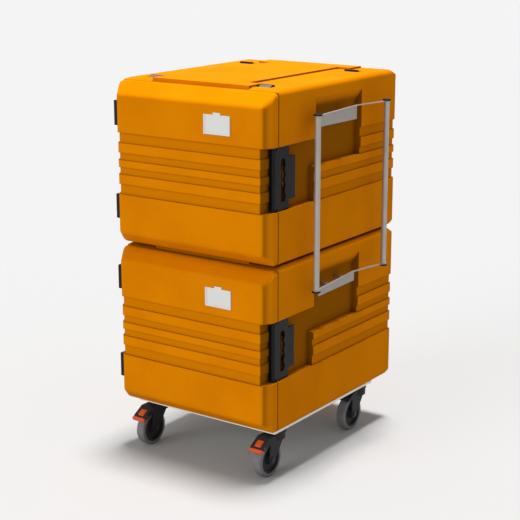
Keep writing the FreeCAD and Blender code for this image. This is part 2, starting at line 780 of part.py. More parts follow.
def latch_lever():
    """The lever: barrel, frame with a toothed window, finger flap and hook."""
    barrel_low = LATCH_LOW + LATCH_EAR_T + LATCH_GAP
    barrel_high = LATCH_HIGH - LATCH_EAR_T - LATCH_GAP
    barrel = rod(LATCH_R, Vector(LATCH_X, LATCH_Y, barrel_low), Z_AXIS, barrel_high - barrel_low)
    neck = block(
        LEVER_BACK_X, LEVER_FACE_X, LATCH_Y, LATCH_Y + LATCH_R + 2 * LATCH_GAP, barrel_low, barrel_high
    )
    frame = block(
        LEVER_BACK_X, LEVER_FACE_X, LATCH_Y + LATCH_R + 2 * LATCH_GAP, LATCH_Y + LEVER_REACH,
        LATCH_LOW, LATCH_HIGH,
    )
    flap_low = LATCH_LOW + FLAP_LOW_INSET
    flap_high = LATCH_HIGH - FLAP_HIGH_INSET
    flap = block(
        LEVER_BACK_X, LEVER_FACE_X, LATCH_Y + LEVER_REACH - OVER, LATCH_Y + FLAP_REACH, flap_low, flap_high
    )
    tip = edges_along(flap, Z_AXIS, lambda p: p.y > LATCH_Y + LEVER_REACH and p.x > LEVER_BACK_X + OVER)
    flap = flap.makeFillet(FLAP_TIP_R, tip)
    hook = block(
        hook_tip_x(), LEVER_BACK_X, LATCH_Y + HOOK_REACH, LATCH_Y + HOOK_REACH + HOOK_W,
        LATCH_MID - HOOK_H / 2, LATCH_MID + HOOK_H / 2,
    )
    window_low = LATCH_LOW + WINDOW_LOW_INSET
    window_high = LATCH_HIGH - WINDOW_HIGH_INSET
    window_y = LATCH_Y + WINDOW_NEAR
    x0, x1 = LEVER_BACK_X - OVER, LEVER_FACE_X + OVER
    holes = [block(x0, x1, window_y, window_y + WINDOW_W - TOOTH_W, window_low, window_high)]
    pitch = (window_high - window_low) / TOOTH_COUNT
    for index in range(TOOTH_COUNT):
        middle = window_low + (index + 0.5) * pitch
        holes.append(
            block(x0, x1, window_y, window_y + WINDOW_W, middle - TOOTH_H / 2, middle + TOOTH_H / 2)
        )
    bore = rod(LATCH_PIN_R + RUN_FIT, Vector(LATCH_X, LATCH_Y, LATCH_LOW), Z_AXIS, LATCH_HIGH - LATCH_LOW)
    return barrel.fuse([neck, frame, flap, hook]).cut(holes + [bore]).removeSplitter()


def hook_tip_x():
    """The hook's tip passes just clear over the keeper's ridge."""
    return RECESS_X + KEEPER_T + KEEPER_RIDGE_T + HOOK_GAP


def latch_keeper():
    """The keeper on the body: a plate with a ridge in front of the hook."""
    hook_y = LATCH_Y + HOOK_REACH
    half_h = HOOK_H / 2 + KEEPER_T
    plate_y = hook_y + HOOK_W + HOOK_GAP
    plate = block(
        RECESS_X, RECESS_X + KEEPER_T, plate_y - KEEPER_L, plate_y, LATCH_MID - half_h, LATCH_MID + half_h
    )
    ridge_y = hook_y - HOOK_GAP
    ridge = block(
        RECESS_X, RECESS_X + KEEPER_T + KEEPER_RIDGE_T, ridge_y - KEEPER_RIDGE_W, ridge_y,
        LATCH_MID - half_h, LATCH_MID + half_h,
    )
    return plate.fuse(ridge).removeSplitter()


# Card holder on the door

def card_holder():
    """A thin holder that is open at the top, with lips on three sides."""
    half_w = CARD_W / 2 + CARD_GAP + HOLDER_RIM
    low = CARD_Z - CARD_H / 2 - CARD_GAP - HOLDER_RIM
    high = CARD_Z + CARD_H / 2
    holder = block(CARD_X - half_w, CARD_X + half_w, FRONT_Y - HOLDER_T, FRONT_Y, low, high)
    slot_w = CARD_W / 2 + CARD_GAP
    slot = block(
        CARD_X - slot_w, CARD_X + slot_w, FRONT_Y - HOLDER_T + HOLDER_LIP_T, FRONT_Y - HOLDER_BACK_T,
        low + HOLDER_RIM, high + OVER,
    )
    sight_w = CARD_W / 2 - HOLDER_LIP_W
    sight = block(
        CARD_X - sight_w, CARD_X + sight_w, FRONT_Y - HOLDER_T - OVER, FRONT_Y - HOLDER_BACK_T,
        low + HOLDER_RIM + HOLDER_LIP_W, high + OVER,
    )
    return holder.cut([slot, sight])


def card():
    """The card in the holder, with a finger tab on its top edge."""
    y0 = FRONT_Y - HOLDER_BACK_T - CARD_GAP - CARD_T
    low = CARD_Z - CARD_H / 2
    sheet = block(CARD_X - CARD_W / 2, CARD_X + CARD_W / 2, y0, y0 + CARD_T, low, low + CARD_H)
    tab_w = CARD_TAB_W / 2
    top = low + CARD_H
    tab = block(CARD_X - tab_w, CARD_X + tab_w, y0, y0 + CARD_T, top - OVER, top + CARD_TAB_H)
    return sheet.fuse(tab).removeSplitter()


def stacking_stud(x, y):
    """A wedge block on the top, sloping down to the outside of the box."""
    side = math.copysign(1.0, y)
    outer, inner = y + side * STUD_D / 2, y - side * STUD_D / 2
    crest = inner + side * STUD_TOP_D
    outline = polygon_yz([(inner, DOOR_H), (outer, DOOR_H), (crest, BODY_H), (inner, BODY_H)])
    return extrude_yz(outline, x - STUD_W / 2, x + STUD_W / 2)


# Dolly

def castor_places():
    """Name, swivel axis and brake of each castor."""
    left = DECK_LEFT + CASTOR_SIDE_INSET
    right = DECK_RIGHT - CASTOR_SIDE_INSET
    front = DECK_FRONT + CASTOR_FRONT_INSET
    rear = DECK_BACK - CASTOR_BACK_INSET
    return [
        ("front_left", left, front, True),
        ("front_right", right, front, True),
        ("rear_left", left, rear, False),
        ("rear_right", right, rear, False),
    ]


def deck():
    """A shallow metal tray, turned upside down, with a hole for each castor's pin."""
    def tray(inset, low, high):
        solid = block(
            DECK_LEFT + inset, DECK_RIGHT - inset, DECK_FRONT + inset, DECK_BACK - inset, low, high
        )
        return solid.makeFillet(DECK_CORNER_R - inset, edges_along(solid, Z_AXIS, lambda point: True))

    plate = tray(0, DECK_TOP - DECK_RIM_H, DECK_TOP)
    hollow = tray(DECK_T, DECK_TOP - DECK_RIM_H - OVER, DECK_UNDER)
    holes = [moved(swivel_pin(), x, y, 0) for name, x, y, brake in castor_places()]
    return plate.cut([hollow] + holes)


def swivel_pin():
    """A countersunk pin from the deck down through the castor's crown, with a flange below it."""
    neck_r = SWIVEL_PIN_HEAD_R - DECK_T
    head = Part.makeCone(neck_r, SWIVEL_PIN_HEAD_R, DECK_T, Vector(0, 0, DECK_UNDER), Z_AXIS)
    flange_z = CROWN_TOP - SWIVEL_FLANGE_DROP - SWIVEL_FLANGE_T - SWIVEL_GAP
    shank = rod(SWIVEL_PIN_R, Vector(0, 0, flange_z), Z_AXIS, DECK_TOP - flange_z)
    flange = rod(SWIVEL_FLANGE_R, Vector(0, 0, flange_z), Z_AXIS, SWIVEL_FLANGE_T)
    return head.fuse([shank, flange]).removeSplitter()


def castor_head():
    """The fixed race of a castor under the deck."""
    head = rod(HEAD_R, Vector(0, 0, HEAD_UNDER), Z_AXIS, HEAD_T)
    return head.cut(swivel_pin())


def pedal_frame():
    """Pivot of the brake pedal, the way down its slope and the way out of it, as (y, z) pairs."""
    slope = math.radians(PEDAL_SLOPE)
    down = (-math.cos(slope), -math.sin(slope))
    out = (-math.sin(slope), math.cos(slope))
    height = PEDAL_LINE - PEDAL_DEPTH
    pivot = (
        -CASTOR_TRAIL + out[0] * height + down[0] * PEDAL_ALONG,
        WHEEL_R + out[1] * height + down[1] * PEDAL_ALONG,
    )
    return pivot, down, out


def on_slope(along, above):
    """A (y, z) point from its place along and above the pedal's pivot."""
    pivot, down, out = pedal_frame()
    return (
        pivot[0] + down[0] * along + out[0] * above,
        pivot[1] + down[1] * along + out[1] * above,
    )


def slope_block(along0, along1, above0, above1, half_w):
    """A block that lies along the pedal's slope, in the middle of the castor."""
    outline = [on_slope(along0, above0), on_slope(along0, above1), on_slope(along1, above1),
               on_slope(along1, above0)]
    return extrude_yz(polygon_yz(outline), -half_w, half_w)


def roof_start():
    """Where the slope of a braked castor meets the flat top of its hood."""
    top = on_slope(0, PEDAL_DEPTH)
    return top[0] + (HOOD_TOP - top[1]) / math.tan(math.radians(PEDAL_SLOPE))


def hood_outline(brake):
    """Top, nose and lower edge of a hood, from the swivel forwards and back to the wheel's axle."""
    axle_y = -CASTOR_TRAIL
    skirt = (axle_y - HOOD_SKIRT_AHEAD, WHEEL_R + HOOD_SKIRT_UP)
    if brake:
        front = PEDAL_LIP_NEAR - PEDAL_GAP
        nose = [(roof_start(), HOOD_TOP), on_slope(front, PEDAL_DEPTH), on_slope(front, -PEDAL_DEPTH)]
    else:
        nose_y = axle_y - PLAIN_NOSE_AHEAD
        nose_z = WHEEL_R + PLAIN_NOSE_UP
        nose = [(axle_y, HOOD_TOP), (nose_y, nose_z), (nose_y, nose_z - FORK_T)]
    return nose + [skirt, (axle_y - FORK_LEG_R, WHEEL_R)]


def castor_housing(brake):
    """The black fork and hood of a castor, seen from its side as one outline round the wheel."""
    axle_point = wheel_point(0)
    corners = [Vector(0, HEAD_R, HOOD_TOP)] + [Vector(0, y, z) for y, z in hood_outline(brake)]
    rear = axle_point + Y_AXIS * FORK_LEG_R
    rear_bend = Vector(0, FORK_REAR_Y, WHEEL_R + FORK_REAR_UP)
    edges = [Part.LineSegment(a, b).toShape() for a, b in zip(corners, corners[1:])]
    edges.append(Part.Arc(corners[-1], axle_point - Z_AXIS * FORK_LEG_R, rear).toShape())
    edges.append(Part.LineSegment(rear, rear_bend).toShape())
    edges.append(Part.LineSegment(rear_bend, corners[0]).toShape())
    body = extrude_yz(Part.Wire(edges), -FORK_OUT, FORK_OUT)
    crown_low = 2 * WHEEL_R
    crown = rod(HEAD_R, Vector(0, 0, crown_low), Z_AXIS, CROWN_TOP - crown_low)
    body = body.fuse(crown).removeSplitter()
    tunnel_r = WHEEL_R + HOOD_GAP
    tunnel = rod(tunnel_r, wheel_point(-FORK_IN), X_AXIS, 2 * FORK_IN)
    below = block(
        -FORK_IN, FORK_IN, axle_point.y - tunnel_r, axle_point.y + tunnel_r, -OVER, WHEEL_R
    )
    well = rod(SWIVEL_WELL_R, Vector(0, 0, 0), Z_AXIS, CROWN_TOP - SWIVEL_FLANGE_DROP)
    bore = rod(SWIVEL_PIN_R + RUN_FIT, Vector(0, 0, 0), Z_AXIS, DECK_TOP)
    axle_hole = rod(AXLE_R, wheel_point(-FORK_OUT - OVER), X_AXIS, 2 * (FORK_OUT + OVER))
    body = body.cut([tunnel, below, well, bore, axle_hole])
    if not brake:
        return body
    pivot = pedal_frame()[0]
    window = slope_block(
        -PEDAL_PAD_L - PEDAL_GAP, PEDAL_LIP_NEAR + OVER, -PEDAL_LINE / 2, PEDAL_LINE, PEDAL_W / 2 + PEDAL_GAP
    )
    half = FORK_OUT + OVER
    trunnion_hole = rod(PEDAL_TRUNNION_R + RUN_FIT, Vector(-half, pivot[0], pivot[1]), X_AXIS, 2 * half)
    return body.cut([window, trunnion_hole]).fuse(pedal_bar()).removeSplitter()


def pedal_bar():
    """The black bar across the window between the pedal's pad and its lip."""
    near = PEDAL_LIP_NEAR - PEDAL_GAP - PEDAL_BAR_L
    return slope_block(
        near, near + PEDAL_BAR_L, PEDAL_DEPTH - PEDAL_BAR_T, PEDAL_DEPTH, PEDAL_W / 2 + PEDAL_GAP
    )


def brake_pedal():
    """The rocker in the hood's window: pad above the pivot, lip below it, on two trunnions."""
    pivot = pedal_frame()[0]
    half = PEDAL_W / 2
    pad_top = PEDAL_DEPTH + PEDAL_PROUD
    pad = slope_block(-PEDAL_PAD_L, -PEDAL_GAP, pad_top - PEDAL_T, pad_top, half)
    hub = rod(PEDAL_HUB_R, Vector(-half, pivot[0], pivot[1]), X_AXIS, PEDAL_W)
    neck_top = PEDAL_DEPTH - PEDAL_BAR_T - PEDAL_GAP
    neck = slope_block(0, PEDAL_LIP_NEAR + PEDAL_LIP_L / 2, -PEDAL_HUB_R, neck_top, half)
    lip = slope_block(
        PEDAL_LIP_NEAR, PEDAL_LIP_NEAR + PEDAL_LIP_L, PEDAL_DEPTH - PEDAL_LIP_T, PEDAL_DEPTH, FORK_OUT
    )
    lip = lip.makeFillet(PEDAL_LIP_R, edges_along(lip, X_AXIS, lambda point: True))
    trunnion = rod(PEDAL_TRUNNION_R, Vector(-FORK_OUT, pivot[0], pivot[1]), X_AXIS, 2 * FORK_OUT)
    return pad.fuse([hub, neck, lip, trunnion]).removeSplitter()


def wheel_point(x):
    """A point on a wheel's axis."""
    return Vector(x, -CASTOR_TRAIL, WHEEL_R)


def wheel_core():
    """A dark wheel with a rim, a thin disc and a hub on the axle."""
    rim_r = WHEEL_R - TYRE_T
    half = WHEEL_W / 2
    core = rod(rim_r, wheel_point(-half), X_AXIS, WHEEL_W)
    cuts = []
    for side in (-1, 1):
        start, way = wheel_point(side * half), X_AXIS * -side
        depth = (WHEEL_W - DISC_T) / 2
        dish = rod(rim_r - TYRE_T / 2, start, way, depth).cut(rod(HUB_R, start, way, depth))
        cuts.append(dish)
    bore = rod(AXLE_R + RUN_FIT, wheel_point(-half), X_AXIS, WHEEL_W)
    return core.cut(cuts + [bore])


def tyre():
    """A grey rubber ring with rounded shoulders."""
    half = WHEEL_W / 2
    ring = rod(WHEEL_R, wheel_point(-half), X_AXIS, WHEEL_W)
    rims = [e for e in ring.Edges if e.Curve.TypeId == "Part::GeomCircle"]
    ring = ring.makeFillet(TYRE_EDGE_R, rims)
    return ring.cut(rod(WHEEL_R - TYRE_T, wheel_point(-half), X_AXIS, WHEEL_W))


def axle():
    """The wheel's steel axle with a low round head outside each leg."""
    pin = rod(AXLE_R, wheel_point(-FORK_OUT), X_AXIS, 2 * FORK_OUT)
    heads = [rod(AXLE_HEAD_R, wheel_point(side * FORK_OUT), X_AXIS * side, AXLE_HEAD_T) for side in (-1, 1)]
    return pin.fuse(heads).removeSplitter()


# Push bar on the right side

def bar_places():
    """Y of the two upright tubes."""
    return (BAR_FRONT_Y, BAR_REAR_Y)


def bar_tube(y):
    """One upright tube between the brackets."""
    start = Vector(BAR_X, y, BAR_BOTTOM)
    return rod(TUBE_R, start, Z_AXIS, BAR_LENGTH).cut(rod(TUBE_R - TUBE_WALL, start, Z_AXIS, BAR_LENGTH))


def bar_cap(y, end):
    """A black end cap with a plug in the tube. Its disc clamps the bracket's strap on the tube's end."""
    tube_end = BAR_TOP if end > 0 else BAR_BOTTOM
    start = Vector(BAR_X, y, tube_end - end * CAP_PLUG_L)
    plug = rod(TUBE_R - TUBE_WALL, start, Z_AXIS * end, CAP_PLUG_L + STRAP_T)
    disc = rod(CAP_R, Vector(BAR_X, y, tube_end + end * STRAP_T), Z_AXIS * end, CAP_T)
    rims = [e for e in disc.Edges if e.Curve.TypeId == "Part::GeomCircle"]
    return plug.fuse(disc.makeFillet(CAP_EDGE_R, rims)).removeSplitter()


def strap_run(start, end):
    """A flat run of the strap between two plan points, with round ends."""
    across = sideways(start, end) * (STRAP_W / 2)
    corners = [start + across, end + across, end - across, start - across]
    run = Part.Face(Part.makePolygon(corners + corners[:1])).extrude(Z_AXIS * STRAP_T)
    return run.fuse([rod(STRAP_W / 2, point, Z_AXIS, STRAP_T) for point in (start, end)])


def sideways(start, end):
    """The level way across a run, to the outside of the cart."""
    way = end - start
    return Vector(way.y, -way.x, 0).normalize()


def strap_points(end):
    """Front tube, bend and rear tube of a bracket's strap, at the strap's underside."""
    low = BAR_TOP if end > 0 else BAR_BOTTOM - STRAP_T
    return (
        Vector(BAR_X, BAR_FRONT_Y, low),
        Vector(BAR_X - APEX_INSET, APEX_Y, low),
        Vector(BAR_X, BAR_REAR_Y, low),
    )


def bracket_flap(end):
    """The flap that is turned down from a strap between the front tube and the bend."""
    front, apex, rear = strap_points(end)
    tall = FLAP_UPPER_H if end > 0 else FLAP_LOWER_H
    start = front + (apex - front).normalize() * (CAP_R + FLAP_CAP_GAP)
    lift = Z_AXIS * STRAP_T
    across = sideways(front, apex) * (STRAP_T / 2)
    corners = [
        start + lift, apex + lift, apex + lift - Z_AXIS * tall, start + lift - Z_AXIS * (tall - FLAP_TAPER)
    ]
    corners = [corner - across for corner in corners]
    return Part.Face(Part.makePolygon(corners + corners[:1])).extrude(across * 2)


def bar_bracket(end):
    """A strap that bends in towards the box between the two tubes, with its flap."""
    front, apex, rear = strap_points(end)
    eyes = [rod(TUBE_R + STRAP_T, point, Z_AXIS, STRAP_T) for point in (front, rear)]
    strap = strap_run(front, apex).fuse([strap_run(apex, rear), bracket_flap(end)] + eyes).removeSplitter()
    holes = [rod(TUBE_R - TUBE_WALL, point, Z_AXIS, STRAP_T) for point in (front, rear)]
    return strap.cut(holes)


def bar_stud_places(end):
    """Points on the pocket's back wall where a bracket's studs are screwed in."""
    level = LEVELS["upper"] if end > 0 else LEVELS["lower"]
    return [Vector(RECESS_X, y, level + STUD_ROD_Z) for y in STUD_ROD_Y]


def bar_stud_thread(point):
    """The thin end of a stud in the box's skin."""
    return rod(STUD_THREAD_R, point - X_AXIS * SKIN, X_AXIS, SKIN)


def bar_stud(point, end):
    """A stud from the pocket's back wall to the back of a bracket's flap."""
    front, apex, rear = strap_points(end)
    stud = rod(STUD_ROD_R, point, X_AXIS, BAR_X - RECESS_X)
    across = sideways(front, apex)
    back = [front - across * (STRAP_T / 2), apex - across * (STRAP_T / 2)]
    outline = [back[0], back[1], back[1] + across * BOX_W, back[0] + across * BOX_W]
    outline = [Vector(corner.x, corner.y, 0) for corner in outline]
    outside = Part.Face(Part.makePolygon(outline + outline[:1])).extrude(Z_AXIS * (BAR_TOP + BOX_D))
    return stud.cut(outside).fuse(bar_stud_thread(point)).removeSplitter()


def bar_stud_holes():
    """The holes that the studs take in a body, in the box's own heights."""
    return [bar_stud_thread(Vector(RECESS_X, y, STUD_ROD_Z)) for y in STUD_ROD_Y]


def save(name, shapes):
    """Write one node, moved to the cart's origin, as a single solid or a group of solids."""
    solids = [solid for shape in shapes for solid in shape.Solids]
    for solid in solids:
        if not solid.isValid():
            print("not valid:", name)
    group = solids[0] if len(solids) == 1 else Part.makeCompound(solids)
    group = moved(group, -ORIGIN.x, -ORIGIN.y, -ORIGIN.z)
    group.exportStep("parts/" + name + ".step")
    box = group.BoundBox
    print(
        f"{name}: {len(solids)} solid(s), {group.Volume / 1000:.1f} cm3,"
        f" x {box.XMin:.1f} {box.XMax:.1f}, y {box.YMin:.1f} {box.YMax:.1f}, z {box.ZMin:.1f} {box.ZMax:.1f}"
    )


def save_boxes():
    """Write the pieces of both boxes."""
    shell, foam, liner = make_body()
    door_shell, door_foam, door_liner, door_seal = make_door()
    single = {
        "outer_shell": [shell],
        "foam_core": [foam],
        "inner_liner": [liner],
        "door_shell": [door_shell],
        "door_foam": [door_foam],
        "door_liner": [door_liner],
        "door_seal": [door_seal],
        "door_hinge_leaves": [hinge_leaf(z, -1) for z in HINGE_Z],
        "door_screws": [screw(place) for place in door_screw_places()],
        "latch_base": [latch_base()],
        "latch_pin": [latch_pin()],
        "latch_lever": [latch_lever()],
        "card_holder": [card_holder()],
        "card": [card()],
    }
    for box, level in LEVELS.items():
        for name, shapes in single.items():
            save(box + "_" + name, [moved(shape, 0, 0, level) for shape in shapes])
    shared = {
        "body_hinge_leaves": [hinge_leaf(z, 1) for z in HINGE_Z],
        "hinge_pins": [hinge_pin(z) for z in HINGE_Z],
        "body_screws": [screw(place) for place in body_screw_places()],
        "latch_keepers": [latch_keeper()],
        "stacking_studs": [stacking_stud(x, y) for x, y in stud_places()],
    }
    for name, shapes in shared.items():
        save(name, [moved(shape, 0, 0, level) for level in LEVELS.values() for shape in shapes])


def save_dolly():
    """Write the deck and the castors."""
    save("deck", [deck()])
    places = castor_places()
    save("castor_heads", [moved(castor_head(), x, y, 0) for name, x, y, brake in places])
    save("castor_swivel_pins", [moved(swivel_pin(), x, y, 0) for name, x, y, brake in places])
    for name, x, y, brake in places:
        pieces = {
            "housing": castor_housing(brake),
            "wheel": wheel_core(),
            "tyre": tyre(),
            "axle": axle(),
        }
        if brake:
            pieces["brake_pedal"] = brake_pedal()
        for piece, shape in pieces.items():
            save("castor_" + name + "_" + piece, [moved(shape, x, y, 0)])


def save_push_bar():
    """Write the push bar."""
    save("push_bar_tubes", [bar_tube(y) for y in bar_places()])
    save("push_bar_caps", [bar_cap(y, end) for y in bar_places() for end in (1, -1)])
    save("push_bar_upper_bracket", [bar_bracket(1)])
    save("push_bar_lower_bracket", [bar_bracket(-1)])
    save("push_bar_studs", [bar_stud(place, end) for end in (1, -1) for place in bar_stud_places(end)])


os.makedirs("parts", exist_ok=True)
save_boxes()
save_dolly()
save_push_bar()
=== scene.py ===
"""Looks of an insulated food cart: two orange boxes on a castor dolly, tied by a push bar."""
import logging
import math
import random
from abc import ABC, abstractmethod
from dataclasses import dataclass, field
from enum import Enum

import bmesh
import bpy
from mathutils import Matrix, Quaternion, Vector


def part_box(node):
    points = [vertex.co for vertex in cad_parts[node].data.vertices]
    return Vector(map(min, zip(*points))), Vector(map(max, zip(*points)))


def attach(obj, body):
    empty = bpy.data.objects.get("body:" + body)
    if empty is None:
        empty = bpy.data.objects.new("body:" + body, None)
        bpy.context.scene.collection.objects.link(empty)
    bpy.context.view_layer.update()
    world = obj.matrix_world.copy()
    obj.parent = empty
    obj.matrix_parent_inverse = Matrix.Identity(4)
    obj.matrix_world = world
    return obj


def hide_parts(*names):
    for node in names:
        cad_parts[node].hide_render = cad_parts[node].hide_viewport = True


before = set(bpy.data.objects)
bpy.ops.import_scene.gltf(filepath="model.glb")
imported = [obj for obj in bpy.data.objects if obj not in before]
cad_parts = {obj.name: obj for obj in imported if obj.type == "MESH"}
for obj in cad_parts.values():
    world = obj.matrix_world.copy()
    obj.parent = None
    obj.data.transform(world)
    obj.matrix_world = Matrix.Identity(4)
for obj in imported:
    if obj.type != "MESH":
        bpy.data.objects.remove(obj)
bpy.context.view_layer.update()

log = logging.getLogger("food_cart")
Colour = tuple[float, float, float, float]
Axes = tuple[float, float, float]
Ring = list[Vector]


def srgb(red: float, green: float, blue: float) -> Colour:
    """Turn a colour as a screen shows it into linear light.

    Args:
        red: Red, 0 to 255.
        green: Green, 0 to 255.
        blue: Blue, 0 to 255.

    Returns:
        The colour with an alpha of 1.
    """
    def linear(part: float) -> float:
        """One channel in linear light."""
        share = part / 255
        return share / 12.92 if share <= 0.04045 else ((share + 0.055) / 1.055) ** 2.4
    return linear(red), linear(green), linear(blue), 1.0


class Term:
    """A number on a node socket, for plain arithmetic."""

    def __init__(self, tree: bpy.types.NodeTree, socket: bpy.types.NodeSocket) -> None:
        """Hold a socket and the tree it is in."""
        self.tree = tree
        self.socket = socket

    def maths(self, operation: str, *terms: "Term | float") -> "Term":
        """Add one Math node.

        Args:
            operation: The Math node's operation.
            terms: Its inputs in order.

        Returns:
            The node's result.
        """
        node = self.tree.nodes.new("ShaderNodeMath")
        node.operation = operation
        for slot, term in zip(node.inputs, terms):
            if isinstance(term, Term):
                self.tree.links.new(term.socket, slot)
            else:
                slot.default_value = term
        return Term(self.tree, node.outputs[0])

    def __add__(self, other: "Term | float") -> "Term":
        """Sum."""
        return self.maths("ADD", self, other)

    def __radd__(self, other: float) -> "Term":
        """Sum with the number first."""
        return self.maths("ADD", other, self)

    def __sub__(self, other: "Term | float") -> "Term":
        """Difference."""
        return self.maths("SUBTRACT", self, other)

    def __rsub__(self, other: float) -> "Term":
        """Difference with the number first."""
        return self.maths("SUBTRACT", other, self)

    def __mul__(self, other: "Term | float") -> "Term":
        """Product."""
        return self.maths("MULTIPLY", self, other)

    def __rmul__(self, other: float) -> "Term":
        """Product with the number first."""
        return self.maths("MULTIPLY", other, self)

    def __mod__(self, other: float) -> "Term":
        """Remainder, never below zero."""
        return self.maths("FLOORED_MODULO", self, other)

    def __abs__(self) -> "Term":
        """Size without its sign."""
        return self.maths("ABSOLUTE", self)


class Plan:
    """A node tree that is being built."""

    def __init__(self, tree: bpy.types.NodeTree) -> None:
        """Hold the tree."""
        self.tree = tree

    def node(
        self, kind: str, settings: dict | None = None, sockets: dict | None = None,
    ) -> bpy.types.Node:
        """Add a node.

        Args:
            kind: The node's type.
            settings: Its own settings, which are set first.
            sockets: Values, terms or sockets for its inputs, by name or number.

        Returns:
            The new node.
        """
        made = self.tree.nodes.new(kind)
        for name, value in (settings or {}).items():
            setattr(made, name, value)
        for key, value in (sockets or {}).items():
            self.feed(made.inputs[key], value)
        return made

    def feed(self, socket: bpy.types.NodeSocket, value: object) -> None:
        """Give a socket a value, a term or another socket."""
        value = value.socket if isinstance(value, Term) else value
        if isinstance(value, bpy.types.NodeSocket):
            self.tree.links.new(value, socket)
        else:
            socket.default_value = value


class Paint(Plan):
    """The node tree of one material, ending in a Principled shader."""

    def __init__(self, name: str, steady: dict[str, float | Colour]) -> None:
        """Start a material.

        Args:
            name: The material's name.
            steady: Values of the shader's sockets that are the same all over.
        """
        self.material = bpy.data.materials.new(name)
        self.material.use_nodes = True
        super().__init__(self.material.node_tree)
        self.shader = next(n for n in self.tree.nodes if n.type == "BSDF_PRINCIPLED")
        for socket, value in steady.items():
            self.shader.inputs[socket].default_value = value
        coordinates = self.node("ShaderNodeTexCoord").outputs
        self.place = coordinates["Object"]
        self.normal = coordinates["Normal"]

    def axes(self, of: bpy.types.NodeSocket) -> list[Term]:
        """The parts of a vector along X, Y and Z."""
        apart = self.node("ShaderNodeSeparateXYZ", sockets={0: of})
        return [Term(self.tree, socket) for socket in apart.outputs]

    def stretched(self, scale: Axes) -> bpy.types.NodeSocket:
        """The place with each axis scaled."""
        made = self.node("ShaderNodeMapping", sockets={"Vector": self.place, "Scale": scale})
        return made.outputs[0]

    def noise(self, scale: float, detail: float = 2.0, stretch: Axes = (1, 1, 1)) -> Term:
        """Soft noise from 0 to 1.

        Args:
            scale: Blobs per metre.
            detail: Finer layers.
            stretch: How the place is scaled first.

        Returns:
            The noise.
        """
        place = self.place if stretch == (1, 1, 1) else self.stretched(stretch)
        sockets = {"Vector": place, "Scale": scale, "Detail": detail}
        made = self.node("ShaderNodeTexNoise", sockets=sockets)
        return Term(self.tree, made.outputs[0])

    def cells(self, scale: float) -> Term:
        """Distance to the nearest of scattered points, as in moulded grain."""
        made = self.node("ShaderNodeTexVoronoi", sockets={"Vector": self.place, "Scale": scale})
        return Term(self.tree, made.outputs["Distance"])

    def nook(self, reach: float) -> Term:
        """How shut in a place is by what stands around it, 0 in the open and 1 in a deep corner.

        Args:
            reach: How far off walls still count, in metres.

        Returns:
            The share that is shut in.
        """
        made = self.node("ShaderNodeAmbientOcclusion", {"samples": 6}, {"Distance": reach})
        return 1 - Term(self.tree, made.outputs["AO"])

    def ramp(self, value: Term, low: float, high: float) -> Term:
        """A smooth step from 0 at low to 1 at high."""
        made = self.node(
            "ShaderNodeMapRange", {"interpolation_type": "SMOOTHSTEP"},
            {"Value": value, "From Min": low, "From Max": high},
        )
        return Term(self.tree, made.outputs[0])

    def band(self, value: Term, low: float, high: float, soft: float) -> Term:
        """1 between low and high, falling to 0 over soft on both sides."""
        after = self.ramp(value, low - soft, low + soft)
        before = 1 - self.ramp(value, high - soft, high + soft)
        return after * before

    def larger(self, first: Term, second: Term) -> Term:
        """The larger of two terms."""
        return first.maths("MAXIMUM", first, second)

    def mix(self, factor: Term, first: object, second: object) -> bpy.types.NodeSocket:
        """Blend two colours.

        Args:
            factor: 0 gives the first, 1 the second.
            first: A colour or its socket.
            second: A colour or its socket.

        Returns:
            The blended colour.
        """
        made = self.node("ShaderNodeMix", {"data_type": "RGBA"}, {0: factor, 6: first, 7: second})
        return made.outputs[2]

    def colour(self, socket: object) -> None:
        """Set what the surface's colour comes from."""
        self.feed(self.shader.inputs["Base Color"], socket)

    def roughness(self, value: Term) -> None:
        """Set what the surface's roughness comes from."""
        self.feed(self.shader.inputs["Roughness"], value)

    def relief(self, height: Term, depth: float, edge: float = 0.0) -> None:
        """Raise the surface by a height map and soften sharp edges.

        Args:
            height: The height, about 0 to 1.
            depth: What a height of 1 stands for, in metres.
            edge: Radius of the softened edges, in metres.
        """
        bump = self.node("ShaderNodeBump", sockets={"Distance": depth, "Height": height})
        if edge:
            soft = self.node("ShaderNodeBevel", {"samples": 4}, {"Radius": edge})
            self.feed(bump.inputs["Normal"], soft.outputs[0])
        self.feed(self.shader.inputs["Normal"], bump.outputs[0])


class Finish(ABC):
    """A surface finish that makes its material once."""

    _made: dict["Finish", bpy.types.Material] = {}

    @abstractmethod
    def paint(self) -> Paint:
        """Build the node tree."""

    def material(self) -> bpy.types.Material:
        """The finish's material, made at its first use."""
        if self not in Finish._made:
            Finish._made[self] = self.paint().material
        return Finish._made[self]


BODY_LOW, BODY_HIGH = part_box("lower_outer_shell")


